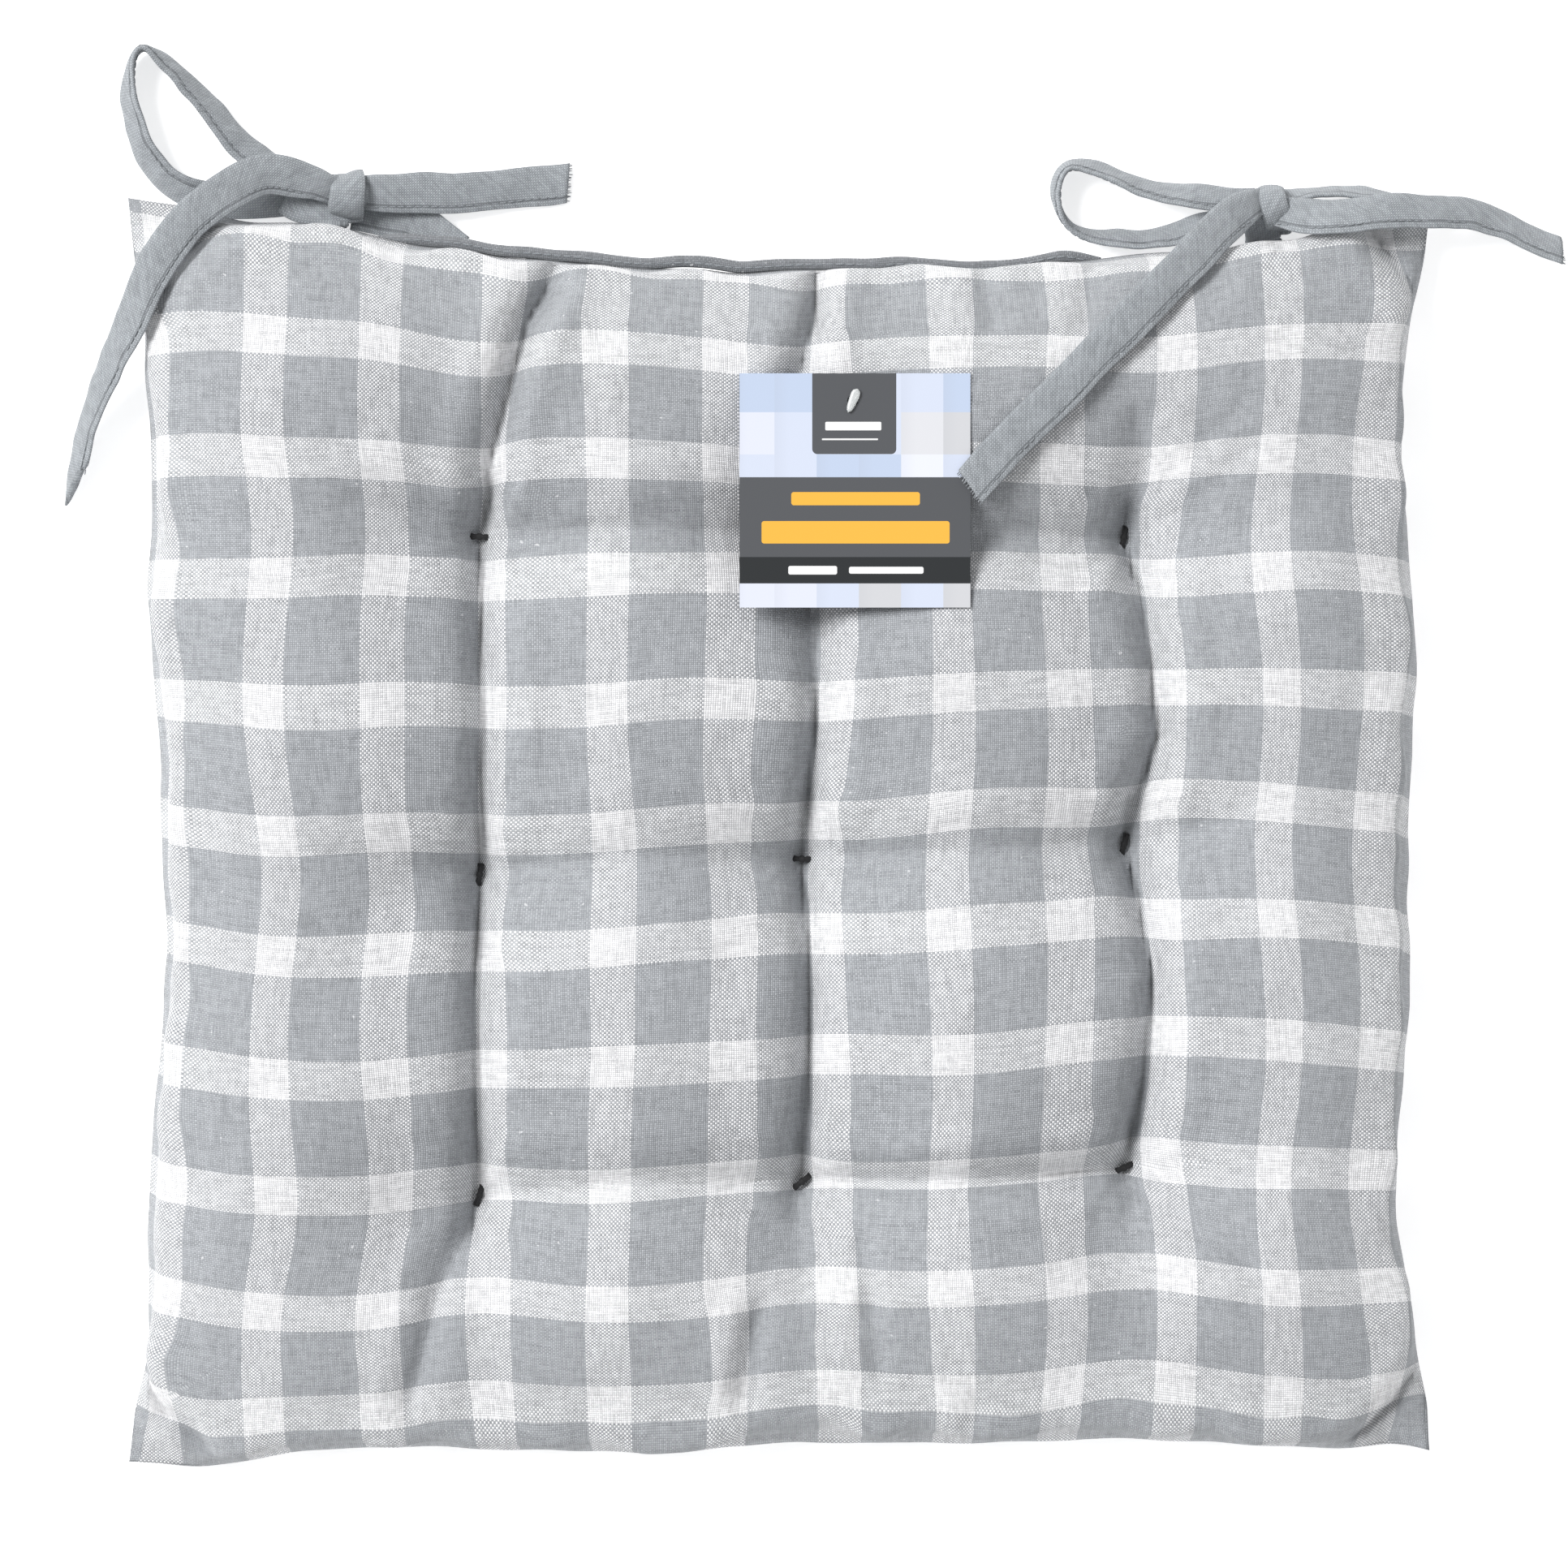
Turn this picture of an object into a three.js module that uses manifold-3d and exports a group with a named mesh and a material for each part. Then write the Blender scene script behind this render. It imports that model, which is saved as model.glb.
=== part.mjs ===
// A square tufted chair seat pad: two cotton panels sewn together round a fibre filling, nine
// tufting stitches pulled through it, a pair of tape ties tied in a half bow near each rear
// corner, and a square swing tag on a plastic fastener.
// Millimetres. The pad lies on z = 0 with its rear edge, where the ties are, towards +Y.

import * as THREE from "three";
import { mergeVertices } from "three/addons/utils/BufferGeometryUtils.js";
import Module from "manifold-3d";

const wasm = await Module();
wasm.setup();

// Clearance between pieces that touch.
const gap = 0.3;

// The pad: its corners, how far the middle of each side draws in, and its heights.
const halfWidth = 200;
const halfDepth = 194;
const drawnIn = { left: 8, right: 5, front: 4, rear: 21 };
const rearDip = { at: 0.1, leftPower: 2, rightPower: 2.8 };
const seamHeight = { side: 16, corner: 9 };
const crownHeight = 44;
const edgeFullness = 5;
const clothThickness = 1;

// Tufting stitches, three by three.
const tuftPitch = 99;
const tuftCentre = { x: 7, y: -9 };
const rowLean = 5;
const tuftHeight = { top: 18, bottom: 7 };
const tuftReach = { top: 24, bottom: 28 };
const stitchRadius = 1;
const stitchBar = { length: 7, width: 2.2, height: 1.4 };
const barLift = { top: 3.6, bottom: 1.2 };
const holeRadius = 1.6;

// The grid that the panels are built on has a line through every tuft.
const gridPitch = tuftPitch / 5;
const narrowestEdgeCell = 4;

// The stretch of the rear edge that is folded in and sewn shut last, and the sewing threads.
const lip = { start: -90, end: 92, depth: 3, thickness: 2, steps: 10 };
const lipThread = { width: 0.6, thickness: 0.4 };
const seamThread = 0.4;
const seamAllowance = 2.6;

// The ties: a flat folded cotton tape.
const tieWidth = 12;
const tieThickness = 1.6;
const hingeGap = 0.04;

// The swing tag and its fastener.
const card = { width: 70, depth: 71, thickness: 0.6, x: 23, y: 103, holeRadius: 1.8 };
const fastener = { x: 22.4, y: 130.2, neckRadius: 0.6, sunk: 5 };
const fastenerHead = { length: 9, width: 4.5, height: 1 };
const fastenerBar = { length: 8, width: 1.2, height: 1.2 };
const pocketClearance = 1.5;

// Each tie's knot is an ellipsoid. Each route is a list of [x, y, z, roll] points along the middle
// of the tape, starting inside the knot. Roll turns the tape about its own length, in degrees: at
// 0 it lies face up, and a positive roll lifts the edge on its right as it runs on. A strand can
// be lifted from its hinge point on, and a loop between its two hinge points.
const ties = {
  left: {
    knot: { centre: [-133, 194.5, 8], radii: [7.5, 7, 5.5] },
    strands: {
      front_tail: {
        hinges: [2],
        route: [
          [-133, 195, 10, 0],
          [-138.5, 197, 12.5, 0],
          [-144, 199, 14, 0],
          [-157, 201, 17.5, 0],
          [-169, 195.5, 21.5, 0],
          [-182, 184.5, 24.5, -5],
          [-191.5, 170, 25.5, -15],
          [-198.5, 155, 21.5, -35],
          [-206, 140, 14.5, -55],
          [-212.5, 125, 9.2, -72],
          [-215.5, 113, 7.2, -82],
          [-216.5, 106.5, 7, -88],
        ],
      },
      side_tail: {
        hinges: [2],
        route: [
          [-139, 195, 8, 0],
          [-131, 195.3, 9, 0],
          [-123.5, 195.6, 9.2, 0],
          [-112, 195.8, 7.6, 0],
          [-100, 196, 6, 0],
          [-88, 197, 3.6, 0],
          [-76, 198.5, 1.8, 0],
          [-65, 199.5, 1.2, 0],
        ],
      },
      loop: {
        hinges: [3, 11],
        route: [
          [-134, 196, 7.5, -10],
          [-143, 197, 7, -16],
          [-154, 201.5, 6.5, -26],
          [-165, 210.3, 6.2, -38],
          [-174, 220.7, 6.2, -48],
          [-183.5, 231, 6.2, -60],
          [-191, 238, 6.4, -76],
          [-196, 240.5, 6.8, -88],
          [-199.3, 235.5, 6.6, -78],
          [-200, 225, 6.2, -60],
          [-195.5, 209, 6.2, -48],
          [-186.5, 198.5, 6.2, -38],
          [-173, 193.6, 6, -24],
          [-156, 193.4, 6.2, -12],
          [-145, 193.9, 6.8, -6],
          [-137, 194.2, 7.4, 0],
        ],
      },
    },
    roots: {
      inner_root: [
        [-131, 191, 4.5, 0],
        [-122, 189.3, 3.2, 0],
        [-113.5, 187.5, 3.6, 0],
        [-106, 184.8, 4.6, 0],
        [-101, 182.5, 6.6, 0],
      ],
      outer_root: [
        [-138.5, 193, 1.2, 0],
        [-138.7, 188.8, 1.6, 0],
        [-139, 186, 6, 0],
        [-139, 185.9, 11.5, 0],
      ],
    },
  },
  right: {
    knot: { centre: [148, 192, 12], radii: [10, 8, 8] },
    strands: {
      front_tail: {
        hinges: [2],
        route: [
          [150, 196, 15, 0],
          [144.5, 193, 21, 0],
          [137, 186, 27, 0],
          [128.5, 177, 33.5, 0],
          [117, 165, 38.5, 0],
          [105, 152.5, 42, 0],
          [92, 140, 44.2, 0],
          [80, 127.5, 45.4, 0],
          [68.5, 116, 46.2, 0],
          [58, 104, 46.6, 0],
        ],
      },
      side_tail: {
        hinges: [2],
        route: [
          [147, 190, 12, 0],
          [154, 189.5, 17.5, 10],
          [161, 187.8, 21.5, 20],
          [170, 187.5, 24, 30],
          [184.5, 189.3, 23, 30],
          [199.5, 189.5, 18.5, 30],
          [212, 189, 12.5, 35],
          [222, 186.3, 9, 42],
          [232, 181.8, 6.6, 48],
          [240.6, 178, 5.8, 50],
        ],
      },
      loop: {
        hinges: [4, 11],
        route: [
          [146, 193, 12, -15],
          [137, 193.5, 12.5, -25],
          [128, 194.5, 11.5, -40],
          [118, 195.8, 10, -52],
          [109, 198.5, 8.6, -60],
          [98, 203, 7.2, -66],
          [90, 204.5, 6.8, -72],
          [86, 201, 6.7, -78],
          [85.3, 194, 6.7, -84],
          [87.5, 187.5, 6.7, -95],
          [95, 183, 6.9, -113],
          [109, 181.8, 8.4, -125],
          [119, 182.4, 9.6, -130],
          [128, 184.8, 10.6, -138],
          [137, 187.5, 11.5, -150],
          [145, 190, 12, -160],
        ],
      },
    },
    roots: {
      inner_root: [
        [150, 190, 2, 0],
        [150, 186.4, 2.6, 0],
        [150, 184.6, 7, 0],
        [150, 183.9, 11.5, 0],
      ],
      outer_root: [
        [154, 195, 10, 60],
        [163, 197, 9, 62],
        [174, 198, 9, 62],
        [184, 198.5, 9, 60],
        [191, 197.5, 9.5, 55],
      ],
    },
  },
};

// --- Solids and geometries -------------------------------------------------------------------

function geometryFrom(positions, index) {
  const geometry = new THREE.BufferGeometry();
  geometry.setAttribute("position", new THREE.Float32BufferAttribute(positions, 3));
  geometry.setIndex(index);
  return geometry;
}

function toSolid(geometry) {
  const bare = geometry.clone();
  bare.deleteAttribute("normal");
  bare.deleteAttribute("uv");
  const merged = mergeVertices(bare);
  return new wasm.Manifold(
    new wasm.Mesh({
      numProp: 3,
      vertProperties: merged.attributes.position.array,
      triVerts: new Uint32Array(merged.index.array),
    }),
  );
}

function toGeometry(solid) {
  const { vertProperties, triVerts } = solid.getMesh();
  return geometryFrom(vertProperties, Array.from(triVerts));
}

function joined(geometries) {
  const solids = geometries.map(toSolid);
  return toGeometry(solids.reduce((whole, solid) => whole.add(solid)));
}

function cutBy(geometry, cutters) {
  const whole = toSolid(geometry);
  return toGeometry(cutters.map(toSolid).reduce((left, cutter) => left.subtract(cutter), whole));
}

// An upright cylinder between two heights.
function upright(x, y, radius, low, high) {
  const cylinder = new THREE.CylinderGeometry(radius, radius, high - low, 8);
  return cylinder.rotateX(Math.PI / 2).translate(x, y, (low + high) / 2);
}

function box({ length, width, height }, x, y, z) {
  return new THREE.BoxGeometry(length, width, height).translate(x, y, z);
}

function ellipsoid({ centre, radii }, grown = 0) {
  const [a, b, c] = radii.map((radius) => radius + grown);
  return new THREE.SphereGeometry(1, 16, 10).scale(a, b, c).translate(...centre);
}

// Flat tape along a route of [x, y, z, roll] points, from one point number to another.
function tape(route, { width, thickness, from = 0, to = route.length - 1, stepsPerPoint = 2 }) {
  const last = route.length - 1;
  const path = new THREE.CatmullRomCurve3(route.map(([x, y, z]) => new THREE.Vector3(x, y, z)));
  const steps = Math.ceil((to - from) * stepsPerPoint);
  const positions = [];
  const index = [];
  for (let step = 0; step <= steps; step++) {
    const place = from + ((to - from) * step) / steps;
    const before = Math.min(Math.floor(place), last - 1);
    const roll = THREE.MathUtils.degToRad(
      THREE.MathUtils.lerp(route[before][3], route[before + 1][3], place - before),
    );
    const centre = path.getPoint(place / last);
    const along = path.getTangent(place / last);
    const right = new THREE.Vector3().crossVectors(along, new THREE.Vector3(0, 0, 1)).normalize();
    const up = new THREE.Vector3().crossVectors(right, along);
    const edge = right.clone().multiplyScalar(Math.cos(roll)).addScaledVector(up, Math.sin(roll));
    const face = up.clone().multiplyScalar(Math.cos(roll)).addScaledVector(right, -Math.sin(roll));
    for (const [side, level] of [[1, 1], [-1, 1], [-1, -1], [1, -1]]) {
      const corner = centre.clone();
      corner.addScaledVector(edge, (side * width) / 2);
      corner.addScaledVector(face, (level * thickness) / 2);
      positions.push(...corner.toArray());
    }
  }
  for (let step = 0; step < steps; step++) {
    for (let k = 0; k < 4; k++) {
      const a = 4 * step + k;
      const b = 4 * step + ((k + 1) % 4);
      index.push(a, a + 4, b, b, a + 4, b + 4);
    }
  }
  const end = 4 * steps;
  index.push(0, 1, 2, 0, 2, 3, end, end + 2, end + 1, end, end + 3, end + 2);
  return geometryFrom(positions, index);
}

// --- The shape of the pad --------------------------------------------------------------------

// How far the rear edge draws in, deepest a little to the right of its middle.
function rearInset(u) {
  const left = u < rearDip.at;
  const offside = left ? (rearDip.at - u) / (1 + rearDip.at) : (u - rearDip.at) / (1 - rearDip.at);
  return drawnIn.rear * (1 - offside ** (left ? rearDip.leftPower : rearDip.rightPower));
}

// In front of the rear row of stitches, the rows lean towards the front on the left.
function leanAt(x, y) {
  const across = ((x - tuftCentre.x) / tuftPitch) * (1 - (x / halfWidth) ** 4);
  const behind = THREE.MathUtils.smoothstep(tuftCentre.y + tuftPitch - y, 0, tuftPitch);
  return rowLean * across * behind * (1 - (y / halfDepth) ** 4);
}

// Where a point of the square panel lies in plan, once the sides have drawn in.
function inPlan(x, y) {
  const u = x / halfWidth;
  const v = y / halfDepth;
  const sideways = (u < 0 ? drawnIn.left : -drawnIn.right) * (1 - v ** 2);
  const lengthways = v < 0 ? drawnIn.front * (1 - u ** 2) : -rearInset(u);
  return [x + sideways * u ** 6, y + lengthways * v ** 6 + leanAt(x, y)];
}

function seamAt(x, y) {
  const corner = ((x * y) / (halfWidth * halfDepth)) ** 2;
  return THREE.MathUtils.lerp(seamHeight.side, seamHeight.corner, corner);
}

// 0 along the seam, 1 where the filling is full.
function fullnessAt(x, y) {
  const across = 1 - Math.abs(x / halfWidth) ** edgeFullness;
  const along = 1 - Math.abs(y / halfDepth) ** edgeFullness;
  return Math.sqrt(across * along);
}

const tufts = [];
for (const row of [1, 0, -1]) {
  for (const column of [-1, 0, 1]) {
    tufts.push({ x: tuftCentre.x + column * tuftPitch, y: tuftCentre.y + row * tuftPitch });
  }
}

function tuftDistance(x, y) {
  return Math.min(...tufts.map((tuft) => Math.hypot(x - tuft.x, y - tuft.y)));
}

// The outer faces of the top and bottom panels.
function topAt(x, y) {
  const rim = seamAt(x, y) + gap + clothThickness;
  const crown = THREE.MathUtils.lerp(rim, crownHeight, fullnessAt(x, y));
  const pull = Math.exp(-((tuftDistance(x, y) / tuftReach.top) ** 1.3));
  return THREE.MathUtils.lerp(crown, tuftHeight.top, pull);
}

function bottomAt(x, y) {
  const rim = seamAt(x, y) - gap - clothThickness;
  const edgeLift = rim * Math.max(0, 1 - 1.3 * fullnessAt(x, y));
  const tuftLift = tuftHeight.bottom * Math.max(0, 1 - tuftDistance(x, y) / tuftReach.bottom);
  return Math.max(edgeLift, tuftLift);
}

function gridLines(through, half) {
  const lines = [-half];
  const first = Math.ceil((narrowestEdgeCell - half - through) / gridPitch);
  for (let line = through + first * gridPitch; line < half - narrowestEdgeCell; line += gridPitch) {
    lines.push(line);
  }
  lines.push(half);
  return lines;
}

const columns = gridLines(tuftCentre.x, halfWidth);
const rows = gridLines(tuftCentre.y, halfDepth);

// A closed solid between two surfaces over a grid, with upright sides.
function slab(xs, ys, upper, lower) {
  const positions = [];
  for (const height of [upper, lower]) {
    for (const y of ys) {
      for (const x of xs) positions.push(...inPlan(x, y), height(x, y));
    }
  }
  const under = xs.length * ys.length;
  const at = (i, j) => j * xs.length + i;
  const index = [];
  for (let j = 0; j < ys.length - 1; j++) {
    for (let i = 0; i < xs.length - 1; i++) {
      const [a, b, c, d] = [at(i, j), at(i + 1, j), at(i + 1, j + 1), at(i, j + 1)];
      index.push(a, b, c, a, c, d);
      index.push(a + under, c + under, b + under, a + under, d + under, c + under);
    }
  }
  const rim = [];
  for (let i = 0; i < xs.length - 1; i++) rim.push(at(i, 0));
  for (let j = 0; j < ys.length - 1; j++) rim.push(at(xs.length - 1, j));
  for (let i = xs.length - 1; i > 0; i--) rim.push(at(i, ys.length - 1));
  for (let j = ys.length - 1; j > 0; j--) rim.push(at(0, j));
  rim.forEach((p, k) => {
    const q = rim[(k + 1) % rim.length];
    index.push(p + under, q + under, q, p + under, q, p);
  });
  return geometryFrom(positions, index);
}

// --- Pieces of the pad -----------------------------------------------------------------------

const stitchHoles = tufts.map(({ x, y }) => upright(...inPlan(x, y), holeRadius, -10, 60));
const neckHole = upright(fastener.x, fastener.y, holeRadius, topAt(fastener.x, fastener.y) - 7, 60);

function topCover() {
  const panel = slab(columns, rows, topAt, (x, y) => topAt(x, y) - clothThickness);
  return cutBy(panel, [...stitchHoles, neckHole]);
}

function bottomCover() {
  return cutBy(slab(columns, rows, (x, y) => bottomAt(x, y) + clothThickness, bottomAt), stitchHoles);
}

// The filling stops one grid line short of the seam.
function filling() {
  const upper = (x, y) => topAt(x, y) - clothThickness - gap;
  const lower = (x, y) => bottomAt(x, y) + clothThickness + gap;
  const { length, width, height } = fastenerBar;
  const room = {
    length: length + pocketClearance,
    width: width + pocketClearance,
    height: height + pocketClearance,
  };
  const barPocket = box(room, fastener.x, fastener.y, topAt(fastener.x, fastener.y) - fastener.sunk);
  const block = slab(columns.slice(1, -1), rows.slice(1, -1), upper, lower);
  return cutBy(block, [...stitchHoles, neckHole, barPocket]);
}

function tuftStitch({ x, y }) {
  const topBar = topAt(x, y) + barLift.top + stitchBar.height / 2;
  const bottomBar = bottomAt(x, y) - barLift.bottom - stitchBar.height / 2;
  const place = inPlan(x, y);
  return joined([
    upright(...place, stitchRadius, bottomBar, topBar),
    box(stitchBar, ...place, topBar),
    box(stitchBar, ...place, bottomBar),
  ]);
}

function edgeSeamThread() {
  const inset = (value, half) => THREE.MathUtils.clamp(value, seamAllowance - half, half - seamAllowance);
  const station = (x, y) => [...inPlan(inset(x, halfWidth), inset(y, halfDepth)), seamAt(x, y), 0];
  const front = columns.slice(1, -1).map((x) => station(x, -halfDepth));
  const right = rows.slice(1, -1).map((y) => station(halfWidth, y));
  const rear = columns.slice(1, -1).map((x) => station(x, halfDepth)).reverse();
  const left = rows.slice(1, -1).map((y) => station(-halfWidth, y)).reverse();
  const route = [...front, ...right, ...rear, ...left];
  return tape(route, { width: seamThread, thickness: seamThread, stepsPerPoint: 1 });
}

function alongLip(rise) {
  const route = [];
  for (let step = 0; step <= lip.steps; step++) {
    const x = THREE.MathUtils.lerp(lip.start, lip.end, step / lip.steps);
    const [px, py] = inPlan(x, halfDepth);
    route.push([px, py + gap + lip.depth / 2, seamAt(x, halfDepth) + rise, 0]);
  }
  return route;
}

function closingLip() {
  return tape(alongLip(0), { width: lip.depth, thickness: lip.thickness, stepsPerPoint: 1 });
}

function closingLipThread() {
  const rise = (lip.thickness + lipThread.thickness) / 2 + gap;
  return tape(alongLip(rise), { ...lipThread, stepsPerPoint: 1 });
}

// --- The tag ---------------------------------------------------------------------------------

const cardBottom = crownHeight + 0.5;

function tagCard() {
  const outline = new THREE.Shape();
  const [left, right] = [card.x - card.width / 2, card.x + card.width / 2];
  const [front, rear] = [card.y - card.depth / 2, card.y + card.depth / 2];
  outline.moveTo(left, front).lineTo(right, front).lineTo(right, rear).lineTo(left, rear);
  outline.closePath();
  outline.holes.push(new THREE.Path().absarc(fastener.x, fastener.y, card.holeRadius, 0, 2 * Math.PI));
  const settings = { depth: card.thickness, bevelEnabled: false, curveSegments: 6 };
  return new THREE.ExtrudeGeometry(outline, settings).translate(0, 0, cardBottom);
}

function tagFastener() {
  const { x, y, neckRadius, sunk } = fastener;
  const head = cardBottom + card.thickness + gap + fastenerHead.height / 2;
  const bar = topAt(x, y) - sunk;
  return joined([
    upright(x, y, neckRadius, bar, head),
    box(fastenerHead, x, y, head),
    box(fastenerBar, x, y, bar),
  ]);
}

// --- The ties --------------------------------------------------------------------------------

const tieSection = { width: tieWidth, thickness: tieThickness };

// The part of a strand that can be lifted.
function strandGeometry({ route, hinges: [first, last = route.length - 1 + hingeGap] }) {
  return tape(route, { ...tieSection, from: first + hingeGap, to: last - hingeGap });
}

// The knot, with the short start of every strand up to its hinge point.
function knotGeometry({ knot, strands }) {
  const stubs = [];
  for (const { route, hinges: [first, last] } of Object.values(strands)) {
    stubs.push(tape(route, { ...tieSection, to: first - hingeGap }));
    if (last) stubs.push(tape(route, { ...tieSection, from: last + hingeGap }));
  }
  return joined([ellipsoid(knot), ...stubs]);
}

// A root runs from just outside the knot to the seam that it is sewn into.
function rootGeometry(route, { knot }) {
  return cutBy(tape(route, tieSection), [ellipsoid(knot, gap)]);
}

// --- Assembly --------------------------------------------------------------------------------

const cotton = { color: 0xacafb2, roughness: 0.95 };
const tieCotton = { color: 0xa6abaf, roughness: 0.95 };
const fibre = { color: 0xf4f2ec, roughness: 1 };
const blackThread = { color: 0x1d1e20, roughness: 0.8 };
const greyThread = { color: 0x8d9196, roughness: 0.8 };
const paper = { color: 0xc1cfe6, roughness: 0.5 };
const clearPlastic = { color: 0xe4e8ea, roughness: 0.25 };

function named(name, geometry, look) {
  const mesh = new THREE.Mesh(geometry, new THREE.MeshStandardMaterial({ metalness: 0, ...look }));
  mesh.name = name;
  return mesh;
}

function pad() {
  const group = new THREE.Group();
  group.add(named("top_cover", topCover(), cotton));
  group.add(named("bottom_cover", bottomCover(), cotton));
  group.add(named("filling", filling(), fibre));
  group.add(named("edge_seam_thread", edgeSeamThread(), greyThread));
  group.add(named("closing_lip", closingLip(), cotton));
  group.add(named("closing_lip_thread", closingLipThread(), greyThread));
  tufts.forEach((tuft, i) => {
    group.add(named(`tuft_stitch_${i + 1}`, tuftStitch(tuft), blackThread));
  });
  return group;
}

function tiePair(side) {
  const group = new THREE.Group();
  const pair = ties[side];
  group.add(named(`${side}_tie_knot`, knotGeometry(pair), tieCotton));
  for (const [name, strand] of Object.entries(pair.strands)) {
    group.add(named(`${side}_tie_${name}`, strandGeometry(strand), tieCotton));
  }
  for (const [name, route] of Object.entries(pair.roots)) {
    group.add(named(`${side}_tie_${name}`, rootGeometry(route, pair), tieCotton));
  }
  return group;
}

function tag() {
  const group = new THREE.Group();
  group.add(named("tag_card", tagCard(), paper));
  group.add(named("tag_fastener", tagFastener(), clearPlastic));
  return group;
}

const seatPad = new THREE.Group();
seatPad.add(pad(), tiePair("left"), tiePair("right"), tag());

export default seatPad;
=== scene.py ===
"""A square tufted chair seat pad in checked cotton, with tape ties tied in half bows and a card tag.

Lengths are metres in the frame of the CAD model. The tables of routes and creases are in
millimetres and are turned into metres where they are used.
"""

import math

import bpy
import numpy as np
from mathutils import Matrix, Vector, noise


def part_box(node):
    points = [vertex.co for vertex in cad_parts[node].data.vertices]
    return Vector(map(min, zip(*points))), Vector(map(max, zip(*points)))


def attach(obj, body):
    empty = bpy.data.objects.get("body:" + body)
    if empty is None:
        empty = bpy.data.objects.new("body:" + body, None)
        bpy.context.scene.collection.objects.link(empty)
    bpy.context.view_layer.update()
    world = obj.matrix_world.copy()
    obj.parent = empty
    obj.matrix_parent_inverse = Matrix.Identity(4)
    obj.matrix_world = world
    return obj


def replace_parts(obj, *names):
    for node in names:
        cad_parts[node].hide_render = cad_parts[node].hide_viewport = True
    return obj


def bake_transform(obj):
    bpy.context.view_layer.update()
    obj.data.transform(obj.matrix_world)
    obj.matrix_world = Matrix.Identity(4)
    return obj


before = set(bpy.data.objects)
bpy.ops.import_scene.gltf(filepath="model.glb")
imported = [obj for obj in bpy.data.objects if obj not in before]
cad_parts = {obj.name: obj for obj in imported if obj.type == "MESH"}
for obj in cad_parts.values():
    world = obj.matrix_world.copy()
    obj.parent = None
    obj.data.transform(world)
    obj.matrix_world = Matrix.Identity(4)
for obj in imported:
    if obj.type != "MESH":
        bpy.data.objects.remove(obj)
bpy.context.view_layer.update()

MM = 0.001

# --- Driving dimensions --------------------------------------------------------------------------

# The pad in plan and in height, with the values of the CAD model.
HALF_WIDTH, HALF_DEPTH = 0.200, 0.194
DRAWN_IN = {"left": 0.008, "right": 0.005, "front": 0.004, "rear": 0.021}
REAR_DIP = {"at": 0.1, "left_power": 2.0, "right_power": 2.8}
SEAM_HEIGHT = {"side": 0.016, "corner": 0.009}
EDGE_FULLNESS = 5
TUFT_PITCH = 0.099
TUFT_CENTRE = (0.007, -0.009)
ROW_LEAN = 0.005
TUFT_HEIGHT = {"top": 0.018, "bottom": 0.007}

# The softer shape, which is fitted to the photograph and which the CAD model doesn't share.
CROWN_HEIGHT = 0.0435
CROWN_SHIFT = 0.0042
CROWN_SPREAD = 0.026
TUFT_REACH = {"top": 0.022, "bottom": 0.028}
VALLEY_DEPTH = {"columns": 0.0082, "rows": 0.0052}
VALLEY_WIDTH = 0.015
EAR_SIZE = 0.024
ROLLED_UNDER = {"right": 0.003, "front": 0.0065}
EDGE_BULGE = {"size": 0.0048, "at": 0.010, "width": 0.008, "seam": 0.0030, "underneath": 0.45}
EDGE_SCALLOPS = {"size": 0.018, "depth": 0.85}
PLEATS = {"depth": 0.0009, "at": 0.009, "width": 0.008}
TUFT_PIT = {"top": 0.0040, "bottom": 0.001, "width": 0.0045}
LUMPS = {"size": 0.028, "height": 0.0012}
WRINKLES = {"size": 0.009, "height": 0.0004}
RIM_WAVE = {"size": 0.018, "sideways": 0.0009, "height": 0.0010}
PANEL_GAP = 0.0001

# How the check drifts on the cut cloth: the bow of its columns and its uneven waves.
CHECK_BOW = 0.0033
CHECK_DRIFT = {"size": 0.05, "reach": 0.0024}

# The cloth: the simulated grid, how often each cell is split afterwards, and its thickness.
CELLS_PER_TUFT = 17
SPLITS = 3
CLOTH = 0.0006
FLAT_EASE = 1.045

# The woven check, measured on the flat cloth: pitch and place of the white stripes across (x) and
# along (y), their width, and the yarn pitch.
CHECK_PITCH = (0.03415, 0.0362)
CHECK_CENTRE = (0.0145, 0.0039)
STRIPE_WIDTH = (0.0125, 0.0120)
YARN = 0.0006

# The ties: flat folded tape with a row of stitches near one edge.
TAPE_WIDTH, TAPE_THICKNESS = 0.0124, 0.0016
LOOP_WIDTH = 0.0108
STITCH_INSET = 0.0019
STITCH_PITCH = 0.0026
UNSTITCHED = 0.05
RING_STEP = 0.0012

# How the cloth gives way: its clearance under a tape, the room beside it, and how steeply it rises
# again, first gently and then, from far enough away, freely.
UNDER_TAPE = 0.0007
BESIDE_TAPE = 0.001
RISE = {"near": 1.2, "from": 0.006, "far": 6}

# The card: the fastener's place in plan that it swings round, its swing in degrees, how many steps
# of the swing the cloth makes room for, and its clearance above the cloth.
CARD_PIVOT = (0.0224, 0.1302)
CARD_SWING = (0, -80)
SWING_STEPS = 9
CARD_CLEARANCE = 0.0004
BESIDE_CARD_RISE = 0.6

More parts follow.
